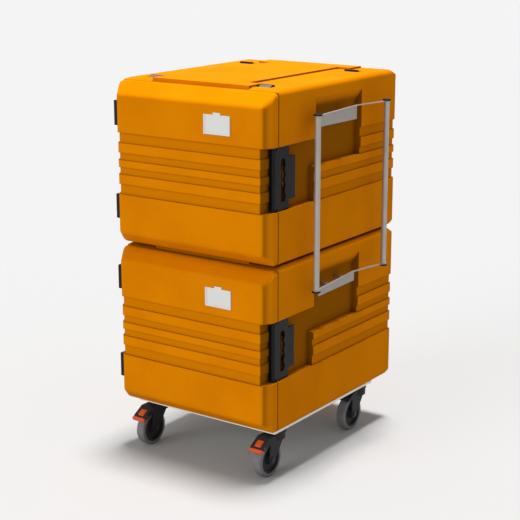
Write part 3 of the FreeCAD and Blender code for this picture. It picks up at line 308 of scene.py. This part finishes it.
@dataclass(frozen=True)
class MouldedShell(Finish):
    """Orange moulded skin with a fine grain, scuffed low down.

    It has painted shade: darker in the grooves of the rib band, in the hollows, in shut-in corners
    and along the seam.
    """

    name: str = "moulded_orange"
    tone: Colour = srgb(232, 137, 0)
    # painted shade: the grooves of the rib band get a darker orange
    groove_shade_tone: Colour = srgb(214, 126, 0)
    deep_tone: Colour = srgb(222, 128, 0)
    scuff_tone: Colour = srgb(240, 160, 52)
    # painted shade: dark orange for shut-in corners and the door seam
    painted_shade_tone: Colour = srgb(122, 76, 0)
    # painted shade: the floors and end walls of the latch recess and grip pockets are coloured
    # darker
    hollow_shade_tone: Colour = srgb(160, 96, 0)
    shine: float = 0.01
    rough: float = 0.66
    middle: float = (BODY_LOW.x + BODY_HIGH.x) / 2
    side: float = (BODY_HIGH.x - BODY_LOW.x) / 2
    bottom: float = BODY_LOW.z
    pitch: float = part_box("upper_outer_shell")[0].z - BODY_LOW.z
    seam: float = (BODY_LOW.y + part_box("lower_door_shell")[1].y) / 2
    seam_half: float = 0.0026
    # how strongly painted shade darkens the seam and shut-in corners, and how far off walls count
    seam_shade_share: float = 0.6
    corner_shade_share: float = 0.75
    shade_reach: float = 0.05
    shade_range: tuple[float, float] = (0.25, 0.8)
    # where the painted shade of the latch recess and grip pockets lies
    hollow_start: float = 0.004
    hollow_end: float = 0.018
    hollow_back: float = 0.2
    wall_end: float = 0.023
    wall_soft: float = 0.004
    wall_gap: float = 0.003
    wall_blur: float = 0.001
    facing_range: tuple[float, float] = (0.4, 0.8)
    grooves: tuple[tuple[float, float], ...] = (
        (0.143, 0.171), (0.198, 0.218), (0.238, 0.258), (0.285, 0.313),
    )
    groove_soft: float = 0.0008
    groove_share: float = 0.9
    scuff_start: float = 0.006
    scuff_height: float = 0.045
    scuff_share: float = 0.35
    mottle_scale: float = 7.0
    scratch_scale: float = 60.0
    grain_scale: float = 620.0
    grain_depth: float = 0.00012
    edge: float = 0.0045

    def paint(self) -> Paint:
        """Build the node tree."""
        paint = Paint(self.name, {"Specular IOR Level": self.shine})
        sideways, across, height = paint.axes(paint.place)
        rise = (height - self.bottom) % self.pitch
        bands = [paint.band(rise, low, high, self.groove_soft) for low, high in self.grooves]
        groove = sum(bands[1:], bands[0])
        mottle = paint.noise(self.mottle_scale, 3.0)
        grain = paint.noise(self.grain_scale, 3.0) + 0.7 * paint.cells(self.grain_scale / 2)
        scratches = paint.ramp(paint.noise(self.scratch_scale, 6.0, (1.0, 1.0, 3.0)), 0.6, 0.7)
        low_down = 1 - paint.ramp(rise, self.scuff_start, self.scuff_height)
        scuff = scratches * low_down * self.scuff_share
        body = paint.mix(paint.ramp(mottle, 0.3, 0.75), self.tone, self.deep_tone)
        # painted shade in the rib grooves
        body = paint.mix(groove * self.groove_share, body, self.groove_shade_tone)
        body = paint.mix(scuff, body, self.scuff_tone)
        # painted shade in the latch recess and grip pockets
        body = paint.mix(self.hollow_shade(paint, sideways, across), body, self.hollow_shade_tone)
        half = self.seam_half
        # painted shade: a dark line along the door seam and in corners found by ambient occlusion
        seam = paint.band(across, self.seam - half, self.seam + half, half / 2)
        corner = paint.ramp(paint.nook(self.shade_reach), *self.shade_range)
        painted_shade = paint.larger(self.corner_shade_share * corner, self.seam_shade_share * seam)
        paint.colour(paint.mix(painted_shade, body, self.painted_shade_tone))
        paint.roughness(self.rough + 0.12 * mottle + 0.15 * scuff)
        paint.relief(grain, self.grain_depth, self.edge)
        return paint

    def hollow_shade(self, paint: Paint, sideways: Term, across: Term) -> Term:
        """Where shade is painted on the latch recess and the grip pockets.

        Args:
            paint: The node tree.
            sideways: Place along X.
            across: Place along Y.

        Returns:
            1 on the floor and the end walls of the hollows, 0 outside them.
        """
        facing_x, facing_y, _ = paint.axes(paint.normal)
        depth = self.side - abs(sideways - self.middle)
        deep = paint.ramp(depth, self.hollow_start, self.hollow_end)
        floor = deep * paint.ramp(abs(facing_x), *self.facing_range)
        near_side = 1 - paint.ramp(depth, self.wall_end, self.wall_end + self.wall_soft)
        behind = paint.band(across, self.seam + self.wall_gap, self.hollow_back, self.wall_blur)
        wall = paint.ramp(abs(facing_y), *self.facing_range) * near_side * behind
        return paint.larger(floor, wall)


@dataclass(frozen=True)
class MouldedPlastic(Finish):
    """Plain moulded plastic with a fine spark-eroded texture and a few dull rubs."""

    name: str
    tone: Colour
    worn: Colour
    rough: float = 0.42
    shine: float = 0.12
    grain_scale: float = 900.0
    grain_depth: float = 0.00008
    edge: float = 0.0008

    def paint(self) -> Paint:
        """Build the node tree."""
        paint = Paint(self.name, {"Specular IOR Level": self.shine})
        mottle = paint.noise(26.0, 4.0)
        grain = paint.noise(self.grain_scale, 2.0)
        rubs = paint.ramp(paint.noise(85.0, 5.0, (1.0, 1.0, 0.35)), 0.55, 0.74)
        body = paint.mix(mottle * 0.4, self.tone, self.worn)
        paint.colour(paint.mix(rubs * 0.6, body, self.worn))
        paint.roughness(self.rough + 0.16 * (mottle - 0.5) + 0.08 * rubs)
        paint.relief(grain, self.grain_depth, self.edge)
        return paint


class Grain(Enum):
    """Which way a metal is brushed, as the scale of its streaks on each axis."""

    UPRIGHT = (1.0, 1.0, 0.012)
    ACROSS = (0.012, 1.0, 1.0)
    LENGTHWISE = (1.0, 0.012, 1.0)
    TURNED = (0.35, 1.0, 1.0)


@dataclass(frozen=True)
class BrushedMetal(Finish):
    """Brushed steel or aluminium with streaks along its working direction."""

    name: str
    tone: Colour
    streak_tone: Colour
    grain: Grain
    rough: float = 0.34
    metallic: float = 0.85
    streak_scale: float = 900.0
    streak_depth: float = 0.00003
    edge: float = 0.0005

    def paint(self) -> Paint:
        """Build the node tree."""
        paint = Paint(self.name, {"Metallic": self.metallic})
        streak = paint.noise(self.streak_scale, 3.0, self.grain.value)
        cloud = paint.noise(14.0, 3.0)
        paint.colour(paint.mix(0.65 * streak + 0.35 * cloud, self.tone, self.streak_tone))
        paint.roughness(self.rough + 0.2 * (streak - 0.5) + 0.1 * (cloud - 0.5))
        paint.relief(streak, self.streak_depth, self.edge)
        return paint


@dataclass(frozen=True)
class WheelRubber(Finish):
    """Grey tyre or dark seal rubber with a matt bloom and fine pits."""

    name: str
    tone: Colour
    dust: Colour
    rough: float = 0.72
    pit_scale: float = 1100.0
    pit_depth: float = 0.00006
    edge: float = 0.0006

    def paint(self) -> Paint:
        """Build the node tree."""
        paint = Paint(self.name, {"Specular IOR Level": 0.25})
        bloom = paint.noise(48.0, 5.0)
        pits = paint.ramp(paint.cells(self.pit_scale), 0.05, 0.35)
        paint.colour(paint.mix(paint.ramp(bloom, 0.35, 0.8), self.tone, self.dust))
        paint.roughness(self.rough + 0.2 * (bloom - 0.5))
        paint.relief(pits, self.pit_depth, self.edge)
        return paint


@dataclass(frozen=True)
class CardStock(Finish):
    """Off-white card or its translucent holder, with faint fibres."""

    name: str
    tone: Colour
    fibre: Colour
    rough: float = 0.6
    weave: float = 700.0
    fibre_depth: float = 0.00003

    def paint(self) -> Paint:
        """Build the node tree."""
        paint = Paint(self.name, {"Specular IOR Level": 0.3})
        fibre = paint.noise(self.weave, 4.0, (1.0, 1.0, 0.4))
        cloud = paint.noise(30.0, 3.0)
        share = 0.6 * paint.ramp(fibre, 0.35, 0.75) + 0.4 * cloud
        paint.colour(paint.mix(share, self.tone, self.fibre))
        paint.roughness(self.rough + 0.12 * (cloud - 0.5))
        paint.relief(fibre, self.fibre_depth)
        return paint


@dataclass(frozen=True)
class RigidFoam(Finish):
    """Pale insulating foam with open cells, hidden between the skins."""

    name: str = "insulating_foam"
    tone: Colour = srgb(226, 208, 160)
    pore: Colour = srgb(196, 172, 118)
    cell: float = 900.0
    pore_depth: float = 0.0003

    def paint(self) -> Paint:
        """Build the node tree."""
        paint = Paint(self.name, {"Roughness": 0.9, "Specular IOR Level": 0.2})
        pores = paint.ramp(paint.cells(self.cell), 0.1, 0.6)
        paint.colour(paint.mix(pores * paint.noise(60.0), self.tone, self.pore))
        paint.relief(pores, self.pore_depth)
        return paint


SHELL = MouldedShell()
FOAM = RigidFoam()
BLACK = MouldedPlastic("black_fittings", srgb(25, 25, 27), srgb(33, 33, 35))
# painted light: the keeper is the shell's orange made brighter so that it looks lit inside the
# shaded latch slot
KEEPER_PAINTED_LIGHT = MouldedPlastic("keeper_orange_painted_light", srgb(255, 168, 20), srgb(255, 176, 30), rough=0.5)
CAP = MouldedPlastic("cap_black", srgb(26, 26, 28), srgb(34, 34, 36), rough=0.5)
HOUSING = MouldedPlastic("castor_black", srgb(46, 46, 49), srgb(62, 62, 65), rough=0.5)
DISC = MouldedPlastic("wheel_disc", srgb(52, 52, 55), srgb(66, 66, 69), rough=0.48)
PEDAL = MouldedPlastic("pedal_orange_red", srgb(222, 84, 24), srgb(236, 116, 58),
                       rough=0.36, shine=0.35)
LINER = MouldedPlastic("liner_grey", srgb(150, 152, 154), srgb(166, 168, 170),
                       rough=0.38, shine=0.35)
STUD_PAD = MouldedPlastic("stud_pad_grey", srgb(116, 112, 108), srgb(132, 128, 124), rough=0.45)
TYRE = WheelRubber("tyre_grey", srgb(120, 118, 120), srgb(136, 133, 132))
SEAL = WheelRubber("seal_rubber", srgb(44, 44, 46), srgb(60, 60, 62), rough=0.6)
CARD = CardStock("card_white", srgb(234, 234, 230), srgb(226, 226, 222))
HOLDER = CardStock("holder_grey", srgb(232, 232, 229), srgb(222, 222, 219),
                   rough=0.42, weave=240.0)
TUBE = BrushedMetal("tube_steel", srgb(206, 200, 194), srgb(150, 145, 140), Grain.UPRIGHT,
                    rough=0.42, metallic=0.4, streak_scale=300.0)
STRAP = BrushedMetal("strap_steel", srgb(172, 166, 161), srgb(146, 140, 135), Grain.LENGTHWISE,
                     rough=0.46, metallic=0.4)
AXLE = BrushedMetal("axle_black_oxide", srgb(62, 62, 65), srgb(48, 48, 51), Grain.TURNED,
                    rough=0.45)
DECK = BrushedMetal("deck_metal", srgb(236, 231, 220), srgb(214, 209, 198), Grain.ACROSS,
                    rough=0.4, metallic=0.6)
STEEL = BrushedMetal("small_steel", srgb(196, 196, 198), srgb(166, 166, 168), Grain.TURNED,
                     rough=0.3)


def dress(name: str, finish: Finish) -> None:
    """Give a node of the frame a finish.

    Args:
        name: The node.
        finish: What its surface becomes.
    """
    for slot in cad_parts[name].material_slots:
        slot.material = finish.material()
    log.info("dressed %s with %s", name, finish.name)


def add_piece(
    name: str, mesh: bpy.types.Mesh, finish: Finish, body: str,
) -> bpy.types.Object:
    """Add a new piece that rides on a body.

    Args:
        name: The piece's name.
        mesh: Its mesh, in the frame's metres.
        finish: Its finish.
        body: The body it moves with.

    Returns:
        The piece's object.
    """
    piece = bpy.data.objects.new(name, mesh)
    bpy.context.scene.collection.objects.link(piece)
    mesh.materials.clear()
    mesh.materials.append(finish.material())
    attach(piece, body)
    log.info("built %s on %s, %d faces", name, body, len(mesh.polygons))
    return piece


def loft(name: str, rings: list[Ring]) -> bpy.types.Mesh:
    """Skin a stack of rings with the same count of points, closed at both ends.

    Args:
        name: The mesh's name.
        rings: The rings from end to end.

    Returns:
        A closed mesh whose faces point outwards.
    """
    form = bmesh.new()
    rows = [[form.verts.new(point) for point in ring] for ring in rings]
    for low, high in zip(rows, rows[1:]):
        for i, corner in enumerate(low):
            j = (i + 1) % len(low)
            form.faces.new((corner, low[j], high[j], high[i]))
    form.faces.new(rows[0][::-1])
    form.faces.new(rows[-1])
    bmesh.ops.recalc_face_normals(form, faces=form.faces)
    mesh = bpy.data.meshes.new(name)
    form.to_mesh(mesh)
    form.free()
    return mesh


def loose_parts(name: str) -> list[tuple[Vector, Vector]]:
    """Boxes of the separate solids in a node, in a steady order.

    Args:
        name: The node.

    Returns:
        The lowest and highest corner of each solid.
    """
    form = bmesh.new()
    form.from_mesh(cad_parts[name].data)
    bmesh.ops.remove_doubles(form, verts=form.verts, dist=1e-6)
    left = set(form.verts)
    boxes = []
    for seed in list(form.verts):
        if seed not in left:
            continue
        left.discard(seed)
        part, queue = [], [seed]
        while queue:
            vert = queue.pop()
            part.append(vert.co.copy())
            for near in (edge.other_vert(vert) for edge in vert.link_edges):
                if near in left:
                    left.discard(near)
                    queue.append(near)
        low = Vector([min(p[i] for p in part) for i in range(3)])
        high = Vector([max(p[i] for p in part) for i in range(3)])
        boxes.append((low, high))
    form.free()
    return sorted(boxes, key=lambda box: tuple(round(c, 5) for c in box[0]))


class Growth(Plan):
    """A Geometry Nodes tree with named inputs."""

    def __init__(self, name: str, inputs: dict[str, str]) -> None:
        """Start a tree.

        Args:
            name: The tree's name.
            inputs: Socket type of each input, by name.
        """
        super().__init__(bpy.data.node_groups.new(name, "GeometryNodeTree"))
        self.keys: dict[str, str] = {}
        for key, kind in inputs.items():
            made = self.tree.interface.new_socket(key, in_out="INPUT", socket_type=kind)
            self.keys[key] = made.identifier
        self.tree.interface.new_socket(
            "Geometry", in_out="OUTPUT", socket_type="NodeSocketGeometry",
        )
        self.given = self.tree.nodes.new("NodeGroupInput").outputs

    def end(self, geometry: bpy.types.NodeSocket) -> None:
        """Realise the geometry, set its material and close the tree."""
        real = self.node("GeometryNodeRealizeInstances", sockets={0: geometry})
        done = self.node("GeometryNodeSetMaterial", sockets={
            "Geometry": real.outputs[0], "Material": self.given["Material"],
        })
        self.node("NodeGroupOutput", sockets={"Geometry": done.outputs[0]})

    def grow(self, name: str, seed: bpy.types.Mesh, values: dict[str, object]) -> bpy.types.Mesh:
        """Run the tree on a mesh.

        Args:
            name: Name of the result.
            seed: The mesh it starts from.
            values: The tree's inputs by name.

        Returns:
            The grown geometry as a plain mesh.
        """
        carrier = bpy.data.objects.new(name + "_carrier", seed)
        bpy.context.scene.collection.objects.link(carrier)
        step = carrier.modifiers.new("grow", "NODES")
        step.node_group = self.tree
        for key, value in values.items():
            step[self.keys[key]] = value
        depsgraph = bpy.context.evaluated_depsgraph_get()
        mesh = bpy.data.meshes.new_from_object(carrier.evaluated_get(depsgraph))
        mesh.name = name
        bpy.data.objects.remove(carrier)
        return mesh


class Repeats:
    """One shape set at many places, each with its own turn."""

    TURN = "turn"

    def __init__(self) -> None:
        """Build the tree."""
        self.growth = Growth("shape_at_places", {
            "Geometry": "NodeSocketGeometry", "Shape": "NodeSocketObject",
            "Material": "NodeSocketMaterial",
        })
        given = self.growth.given
        shape = self.growth.node("GeometryNodeObjectInfo", sockets={"Object": given["Shape"]})
        turn = self.growth.node(
            "GeometryNodeInputNamedAttribute", {"data_type": "QUATERNION"}, {"Name": self.TURN},
        )
        spread = self.growth.node("GeometryNodeInstanceOnPoints", sockets={
            "Points": given["Geometry"], "Instance": shape.outputs["Geometry"],
            "Rotation": turn.outputs["Attribute"],
        })
        self.growth.end(spread.outputs[0])

    def set_out(self, name: str, shape: bpy.types.Mesh, places: list[tuple[Vector, Quaternion]],
                finish: Finish) -> bpy.types.Mesh:
        """Set a shape at each place.

        Args:
            name: Name of the result.
            shape: The mesh that is repeated, around the origin.
            places: Where it goes and how it is turned.
            finish: Its finish.

        Returns:
            All the shapes as one mesh.
        """
        points = bpy.data.meshes.new(name + "_places")
        points.from_pydata([place for place, _ in places], [], [])
        turns = points.attributes.new(self.TURN, "QUATERNION", "POINT")
        for item, (_, turn) in zip(turns.data, places):
            item.value = tuple(turn)
        model = bpy.data.objects.new(name + "_shape", shape)
        bpy.context.scene.collection.objects.link(model)
        mesh = self.growth.grow(name, points, {"Shape": model, "Material": finish.material()})
        bpy.data.objects.remove(model)
        return mesh


@dataclass
class SocketScrews:
    """Round-head screws with a hexagon socket that hold the hinges."""

    repeats: Repeats
    head_r: float = 0.0036
    head_t: float = 0.0018
    socket_r: float = 0.0016
    socket_depth: float = 0.0011
    sides: int = 24
    seed: int = 7

    def head(self) -> bpy.types.Mesh:
        """One screw head, standing on the origin and facing up."""
        hexagon = 6
        def circle(radius: float, height: float) -> Ring:
            """A round ring."""
            step = 2 * math.pi / self.sides
            return [Vector((radius * math.cos(i * step), radius * math.sin(i * step), height))
                    for i in range(self.sides)]
        def socket(height: float) -> Ring:
            """A ring on the hexagon's outline."""
            ring = []
            for point in circle(1.0, height):
                angle = math.atan2(point.y, point.x) % (2 * math.pi / hexagon) - math.pi / hexagon
                radius = self.socket_r * math.cos(math.pi / hexagon) / math.cos(angle)
                ring.append(Vector((point.x * radius, point.y * radius, height)))
            return ring
        crown = [(1.0, 0.0), (1.0, 0.45), (0.96, 0.68), (0.86, 0.87), (0.68, 0.98), (0.52, 1.0)]
        rings = [circle(self.head_r * wide, self.head_t * high) for wide, high in crown]
        rings += [socket(self.head_t), socket(self.head_t - self.socket_depth)]
        return loft("screw_head", rings)

    def fit(self, node: str, body: str) -> None:
        """Put heads where a node has screws.

        Args:
            node: The node whose screws are shown in detail.
            body: The body they move with.
        """
        draw = random.Random(self.seed)
        middle = (BODY_LOW.x + BODY_HIGH.x) / 2
        places = []
        for low, high in loose_parts(node):
            mid = (low + high) / 2
            way = math.copysign(1.0, mid.x - middle)
            seat = (high.x if way > 0 else low.x) - way * self.head_t
            spin = Quaternion((0, 0, 1), draw.uniform(0, math.pi / 3))
            turn = Vector((way, 0, 0)).to_track_quat("Z", "Y") @ spin
            places.append((Vector((seat, mid.y, mid.z)), turn))
        mesh = self.repeats.set_out(node + "_heads", self.head(), places, STEEL)
        piece = add_piece(node + "_detailed", mesh, STEEL, body)
        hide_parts(node)


@dataclass
class LipSeal:
    """Door seal with three soft lips, swept round the mouth of a box."""

    lips: int = 3
    lip_steps: int = 8
    base: float = 0.35
    corner_r: float = 0.032
    corner_steps: int = 8
    growth: Growth = field(init=False)

    def __post_init__(self) -> None:
        """Build the tree."""
        self.growth = Growth("swept_seal", {
            "Geometry": "NodeSocketGeometry", "Width": "NodeSocketFloat",
            "Height": "NodeSocketFloat", "Corner": "NodeSocketFloat",
            "Place": "NodeSocketVector", "Material": "NodeSocketMaterial",
        })
        given = self.growth.given
        path = self.growth.node("GeometryNodeCurvePrimitiveQuadrilateral",
                                sockets={"Width": given["Width"], "Height": given["Height"]})
        soft = self.growth.node("GeometryNodeFilletCurve", {"mode": "POLY"}, {
            "Curve": path.outputs[0], "Radius": given["Corner"], "Count": self.corner_steps,
        })
        profile = self.growth.node("GeometryNodeMeshToCurve", sockets={0: given["Geometry"]})
        swept = self.growth.node("GeometryNodeCurveToMesh", sockets={
            "Curve": soft.outputs[0], "Profile Curve": profile.outputs[0],
        })
        stood = self.growth.node("GeometryNodeTransform", sockets={
            "Geometry": swept.outputs[0], "Rotation": (-math.pi / 2, 0, 0),
            "Translation": given["Place"],
        })
        self.growth.end(stood.outputs[0])

    def profile(self, width: float, height: float) -> bpy.types.Mesh:
        """The seal's section: a flat back and a row of rounded lips.

        Args:
            width: Across the seal.
            height: How far the lips stand out.

        Returns:
            The closed outline as edges.
        """
        points = [(-width / 2, 0.0)]
        pitch = width / self.lips
        for lip in range(self.lips):
            for step in range(self.lip_steps + 1):
                along = -width / 2 + (lip + step / self.lip_steps) * pitch
                swell = math.sin(math.pi * step / self.lip_steps) ** 0.7
                points.append((along, height * (self.base + (1 - self.base) * swell)))
        points.append((width / 2, 0.0))
        count = len(points)
        mesh = bpy.data.meshes.new("seal_section")
        edges = [(i, (i + 1) % count) for i in range(count)]
        mesh.from_pydata([(x, y, 0.0) for x, y in points], edges, [])
        return mesh

    def fit(self, node: str, body: str, width: float) -> None:
        """Sweep a seal where a node has its plain ring.

        Args:
            node: The plain ring.
            body: The door it moves with.
            width: Width of the ring.
        """
        low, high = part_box(node)
        size = high - low
        place = Vector(((low.x + high.x) / 2, low.y, (low.z + high.z) / 2))
        mesh = self.growth.grow(node + "_swept", self.profile(width, size.y), {
            "Width": size.x - width, "Height": size.z - width, "Corner": self.corner_r,
            "Place": place, "Material": SEAL.material(),
        })
        piece = add_piece(node + "_lipped", mesh, SEAL, body)
        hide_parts(node)


class Level(Enum):
    """Which of the two boxes."""

    LOWER = "lower"
    UPPER = "upper"


@dataclass
class InsulatedBox:
    """One box with its door, hinges, latch and card holder."""

    level: Level
    screws: SocketScrews
    seal: LipSeal
    seal_width: float = 0.012
    looks: dict[str, Finish] = field(default_factory=lambda: {
        "outer_shell": SHELL, "foam_core": FOAM, "inner_liner": LINER,
        "door_shell": SHELL, "door_foam": FOAM, "door_liner": LINER, "door_seal": SEAL,
        "door_hinge_leaves": BLACK, "door_screws": STEEL,
        "latch_base": BLACK, "latch_pin": STEEL, "latch_lever": BLACK,
        "card_holder": HOLDER, "card": CARD,
    })

    def build(self) -> None:
        """Dress the box's nodes and add its seal and screw heads."""
        part = self.level.value
        for name, finish in self.looks.items():
            dress(f"{part}_{name}", finish)
        self.screws.fit(f"{part}_door_screws", f"{part}_door")
        self.seal.fit(f"{part}_door_seal", f"{part}_door", self.seal_width)


@dataclass
class BoxFittings:
    """Hinge halves, keepers and stacking studs that both boxes share."""

    screws: SocketScrews
    repeats: Repeats
    pad_w: float = 0.036
    pad_t: float = 0.0008
    pad_margin: float = 0.0012
    pad_edge: float = 0.0003
    crest: float = 0.009
    looks: dict[str, Finish] = field(default_factory=lambda: {
        "body_hinge_leaves": BLACK, "hinge_pins": STEEL, "body_screws": STEEL,
        "latch_keepers": KEEPER_PAINTED_LIGHT, "stacking_studs": BLACK,
    })

    def pad(self, length: float) -> bpy.types.Mesh:
        """A thin slide pad with chamfered edges, lying on the origin's plane.

        Args:
            length: Its size along Y.

        Returns:
            The pad.
        """
        def outline(inset: float, height: float) -> Ring:
            """The pad's outline at a height."""
            x, y = self.pad_w / 2 - inset, length / 2 - inset
            return [Vector((a * x, b * y, height)) for a, b in ((-1, -1), (1, -1), (1, 1), (-1, 1))]
        return loft("slide_pad", [
            outline(0, 0),
            outline(0, self.pad_t - self.pad_edge),
            outline(self.pad_edge, self.pad_t),
        ])

    def pads(self) -> None:
        """Lay a grey pad on each stud's slope."""
        boxes = loose_parts("stacking_studs")
        middle = sum((low.y + high.y for low, high in boxes)) / (2 * len(boxes))
        places = []
        for low, high in boxes:
            way = 1.0 if (low.y + high.y) / 2 > middle else -1.0
            run, drop = high.y - low.y - self.crest, high.z - low.z
            outer = high.y if way > 0 else low.y
            mid = Vector(((low.x + high.x) / 2, outer - way * run / 2, (low.z + high.z) / 2))
            turn = Quaternion((1, 0, 0), -way * math.atan2(drop, run))
            places.append((mid, turn))
        length = math.hypot(run, drop) - 2 * self.pad_margin
        mesh = self.repeats.set_out("stud_pads", self.pad(length), places, STUD_PAD)
        add_piece("stacking_stud_pads", mesh, STUD_PAD, "cart")

    def build(self) -> None:
        """Dress the shared nodes and add screw heads and pads."""
        for name, finish in self.looks.items():
            dress(name, finish)
        self.screws.fit("body_screws", "cart")
        self.pads()


@dataclass
class CastorDolly:
    """The metal deck on four castors, the front pair with brakes."""

    corners: tuple[str, ...] = ("front_left", "front_right", "rear_left", "rear_right")
    looks: dict[str, Finish] = field(default_factory=lambda: {
        "housing": HOUSING, "wheel": DISC, "tyre": TYRE, "axle": AXLE,
    })

    def build(self) -> None:
        """Dress the deck and the castors."""
        dress("deck", DECK)
        dress("castor_heads", STEEL)
        dress("castor_swivel_pins", STEEL)
        for corner in self.corners:
            for name, finish in self.looks.items():
                dress(f"castor_{corner}_{name}", finish)
            if corner.startswith("front"):
                dress(f"castor_{corner}_brake_pedal", PEDAL)


@dataclass
class PushBar:
    """Two upright tubes with caps, held off the boxes by two straps."""

    looks: dict[str, Finish] = field(default_factory=lambda: {
        "push_bar_tubes": TUBE, "push_bar_caps": CAP, "push_bar_studs": STEEL,
        "push_bar_upper_bracket": STRAP, "push_bar_lower_bracket": STRAP,
    })

    def build(self) -> None:
        """Dress the bar's nodes."""
        for name, finish in self.looks.items():
            dress(name, finish)


@dataclass(frozen=True)
class Lamp:
    """A far lamp: its power, how wide it looks in degrees, and where it shines from."""

    name: str
    power: float
    width: float
    source: Axes

    def hang(self) -> None:
        """Put the lamp into the scene."""
        lamp = bpy.data.lights.new(self.name, "SUN")
        lamp.energy = self.power
        lamp.angle = math.radians(self.width)
        hung = bpy.data.objects.new(self.name, lamp)
        hung.rotation_mode = "QUATERNION"
        hung.rotation_quaternion = Vector(self.source).to_track_quat("Z", "Y")
        bpy.context.scene.collection.objects.link(hung)


@dataclass
class Studio:
    """Pale floor, soft light and the camera at the photograph's place."""

    floor_size: float = 80.0
    floor_tone: float = 0.5
    bounce_tone: float = 0.32
    world_light: float = 0.41
    world_shown: float = 0.9
    lamps: tuple[Lamp, ...] = (
        Lamp("main_light", 4.0, 12.0, (0.0, 0.09, 0.996)),
        Lamp("fill_light", 1.22, 40.0, (-0.3, -0.9, 0.3)),
    )
    lens: float = 93.01
    sensor: float = 36.0
    azimuth: float = 35.058
    elevation: float = 14.471
    stand: Axes = (2.13275, -3.06225, 1.4865)
    far: float = 200.0

    def shown_or_bounced(self, tree: bpy.types.NodeTree) -> Term:
        """1 for rays that show a surface, straight or in a shine, and 0 for bounced light."""
        path = tree.nodes.new("ShaderNodeLightPath").outputs
        kinds = ("Is Camera Ray", "Is Glossy Ray", "Is Transmission Ray")
        rays = [Term(tree, path[kind]) for kind in kinds]
        return rays[0] + rays[1] + rays[2]

    def floor(self) -> None:
        """Lay the pale floor."""
        half = self.floor_size / 2
        corners = [(-half, -half, 0), (half, -half, 0), (half, half, 0), (-half, half, 0)]
        mesh = bpy.data.meshes.new("floor")
        mesh.from_pydata(corners, [], [(0, 1, 2, 3)])
        floor = bpy.data.objects.new("floor", mesh)
        bpy.context.scene.collection.objects.link(floor)
        paint = Paint("pale_floor", {"Roughness": 0.9, "Specular IOR Level": 0.1})
        tones = [(tone, tone, tone, 1.0) for tone in (self.bounce_tone, self.floor_tone)]
        paint.colour(paint.mix(self.shown_or_bounced(paint.tree), *tones))
        mesh.materials.append(paint.material)

    def light(self) -> None:
        """Set the soft light from all round and the lamps."""
        world = bpy.data.worlds.new("studio")
        world.use_nodes = True
        tree = world.node_tree
        back = next(n for n in tree.nodes if n.type == "BACKGROUND")
        shown = self.shown_or_bounced(tree)
        power = self.world_light + shown * (self.world_shown - self.world_light)
        tree.links.new(power.socket, back.inputs["Strength"])
        back.inputs["Color"].default_value = (1.0, 1.0, 1.0, 1.0)
        bpy.context.scene.world = world
        for lamp in self.lamps:
            lamp.hang()

    def camera(self) -> None:
        """Stand the camera where the photograph was taken from."""
        data = bpy.data.cameras.new("camera")
        data.sensor_width = self.sensor
        data.lens = self.lens
        data.clip_end = self.far
        camera = bpy.data.objects.new("camera", data)
        turn, tilt = math.radians(self.azimuth), math.radians(self.elevation)
        level = math.cos(tilt)
        back = Vector((math.sin(turn) * level, -math.cos(turn) * level, math.sin(tilt)))
        camera.rotation_mode = "QUATERNION"
        camera.rotation_quaternion = back.to_track_quat("Z", "Y")
        camera.location = self.stand
        bpy.context.scene.collection.objects.link(camera)
        bpy.context.scene.camera = camera

    def build(self) -> None:
        """Make floor, light and camera."""
        bpy.context.scene.view_settings.view_transform = "Standard"
        self.floor()
        self.light()
        self.camera()


def main() -> None:
    """Build every sub-assembly in order."""
    logging.basicConfig(level=logging.INFO, format="%(message)s")
    Studio().build()
    repeats = Repeats()
    screws = SocketScrews(repeats)
    seal = LipSeal()
    for level in Level:
        InsulatedBox(level, screws, seal).build()
    BoxFittings(screws, repeats).build()
    CastorDolly().build()
    PushBar().build()


if __name__ == "__main__":
    main()
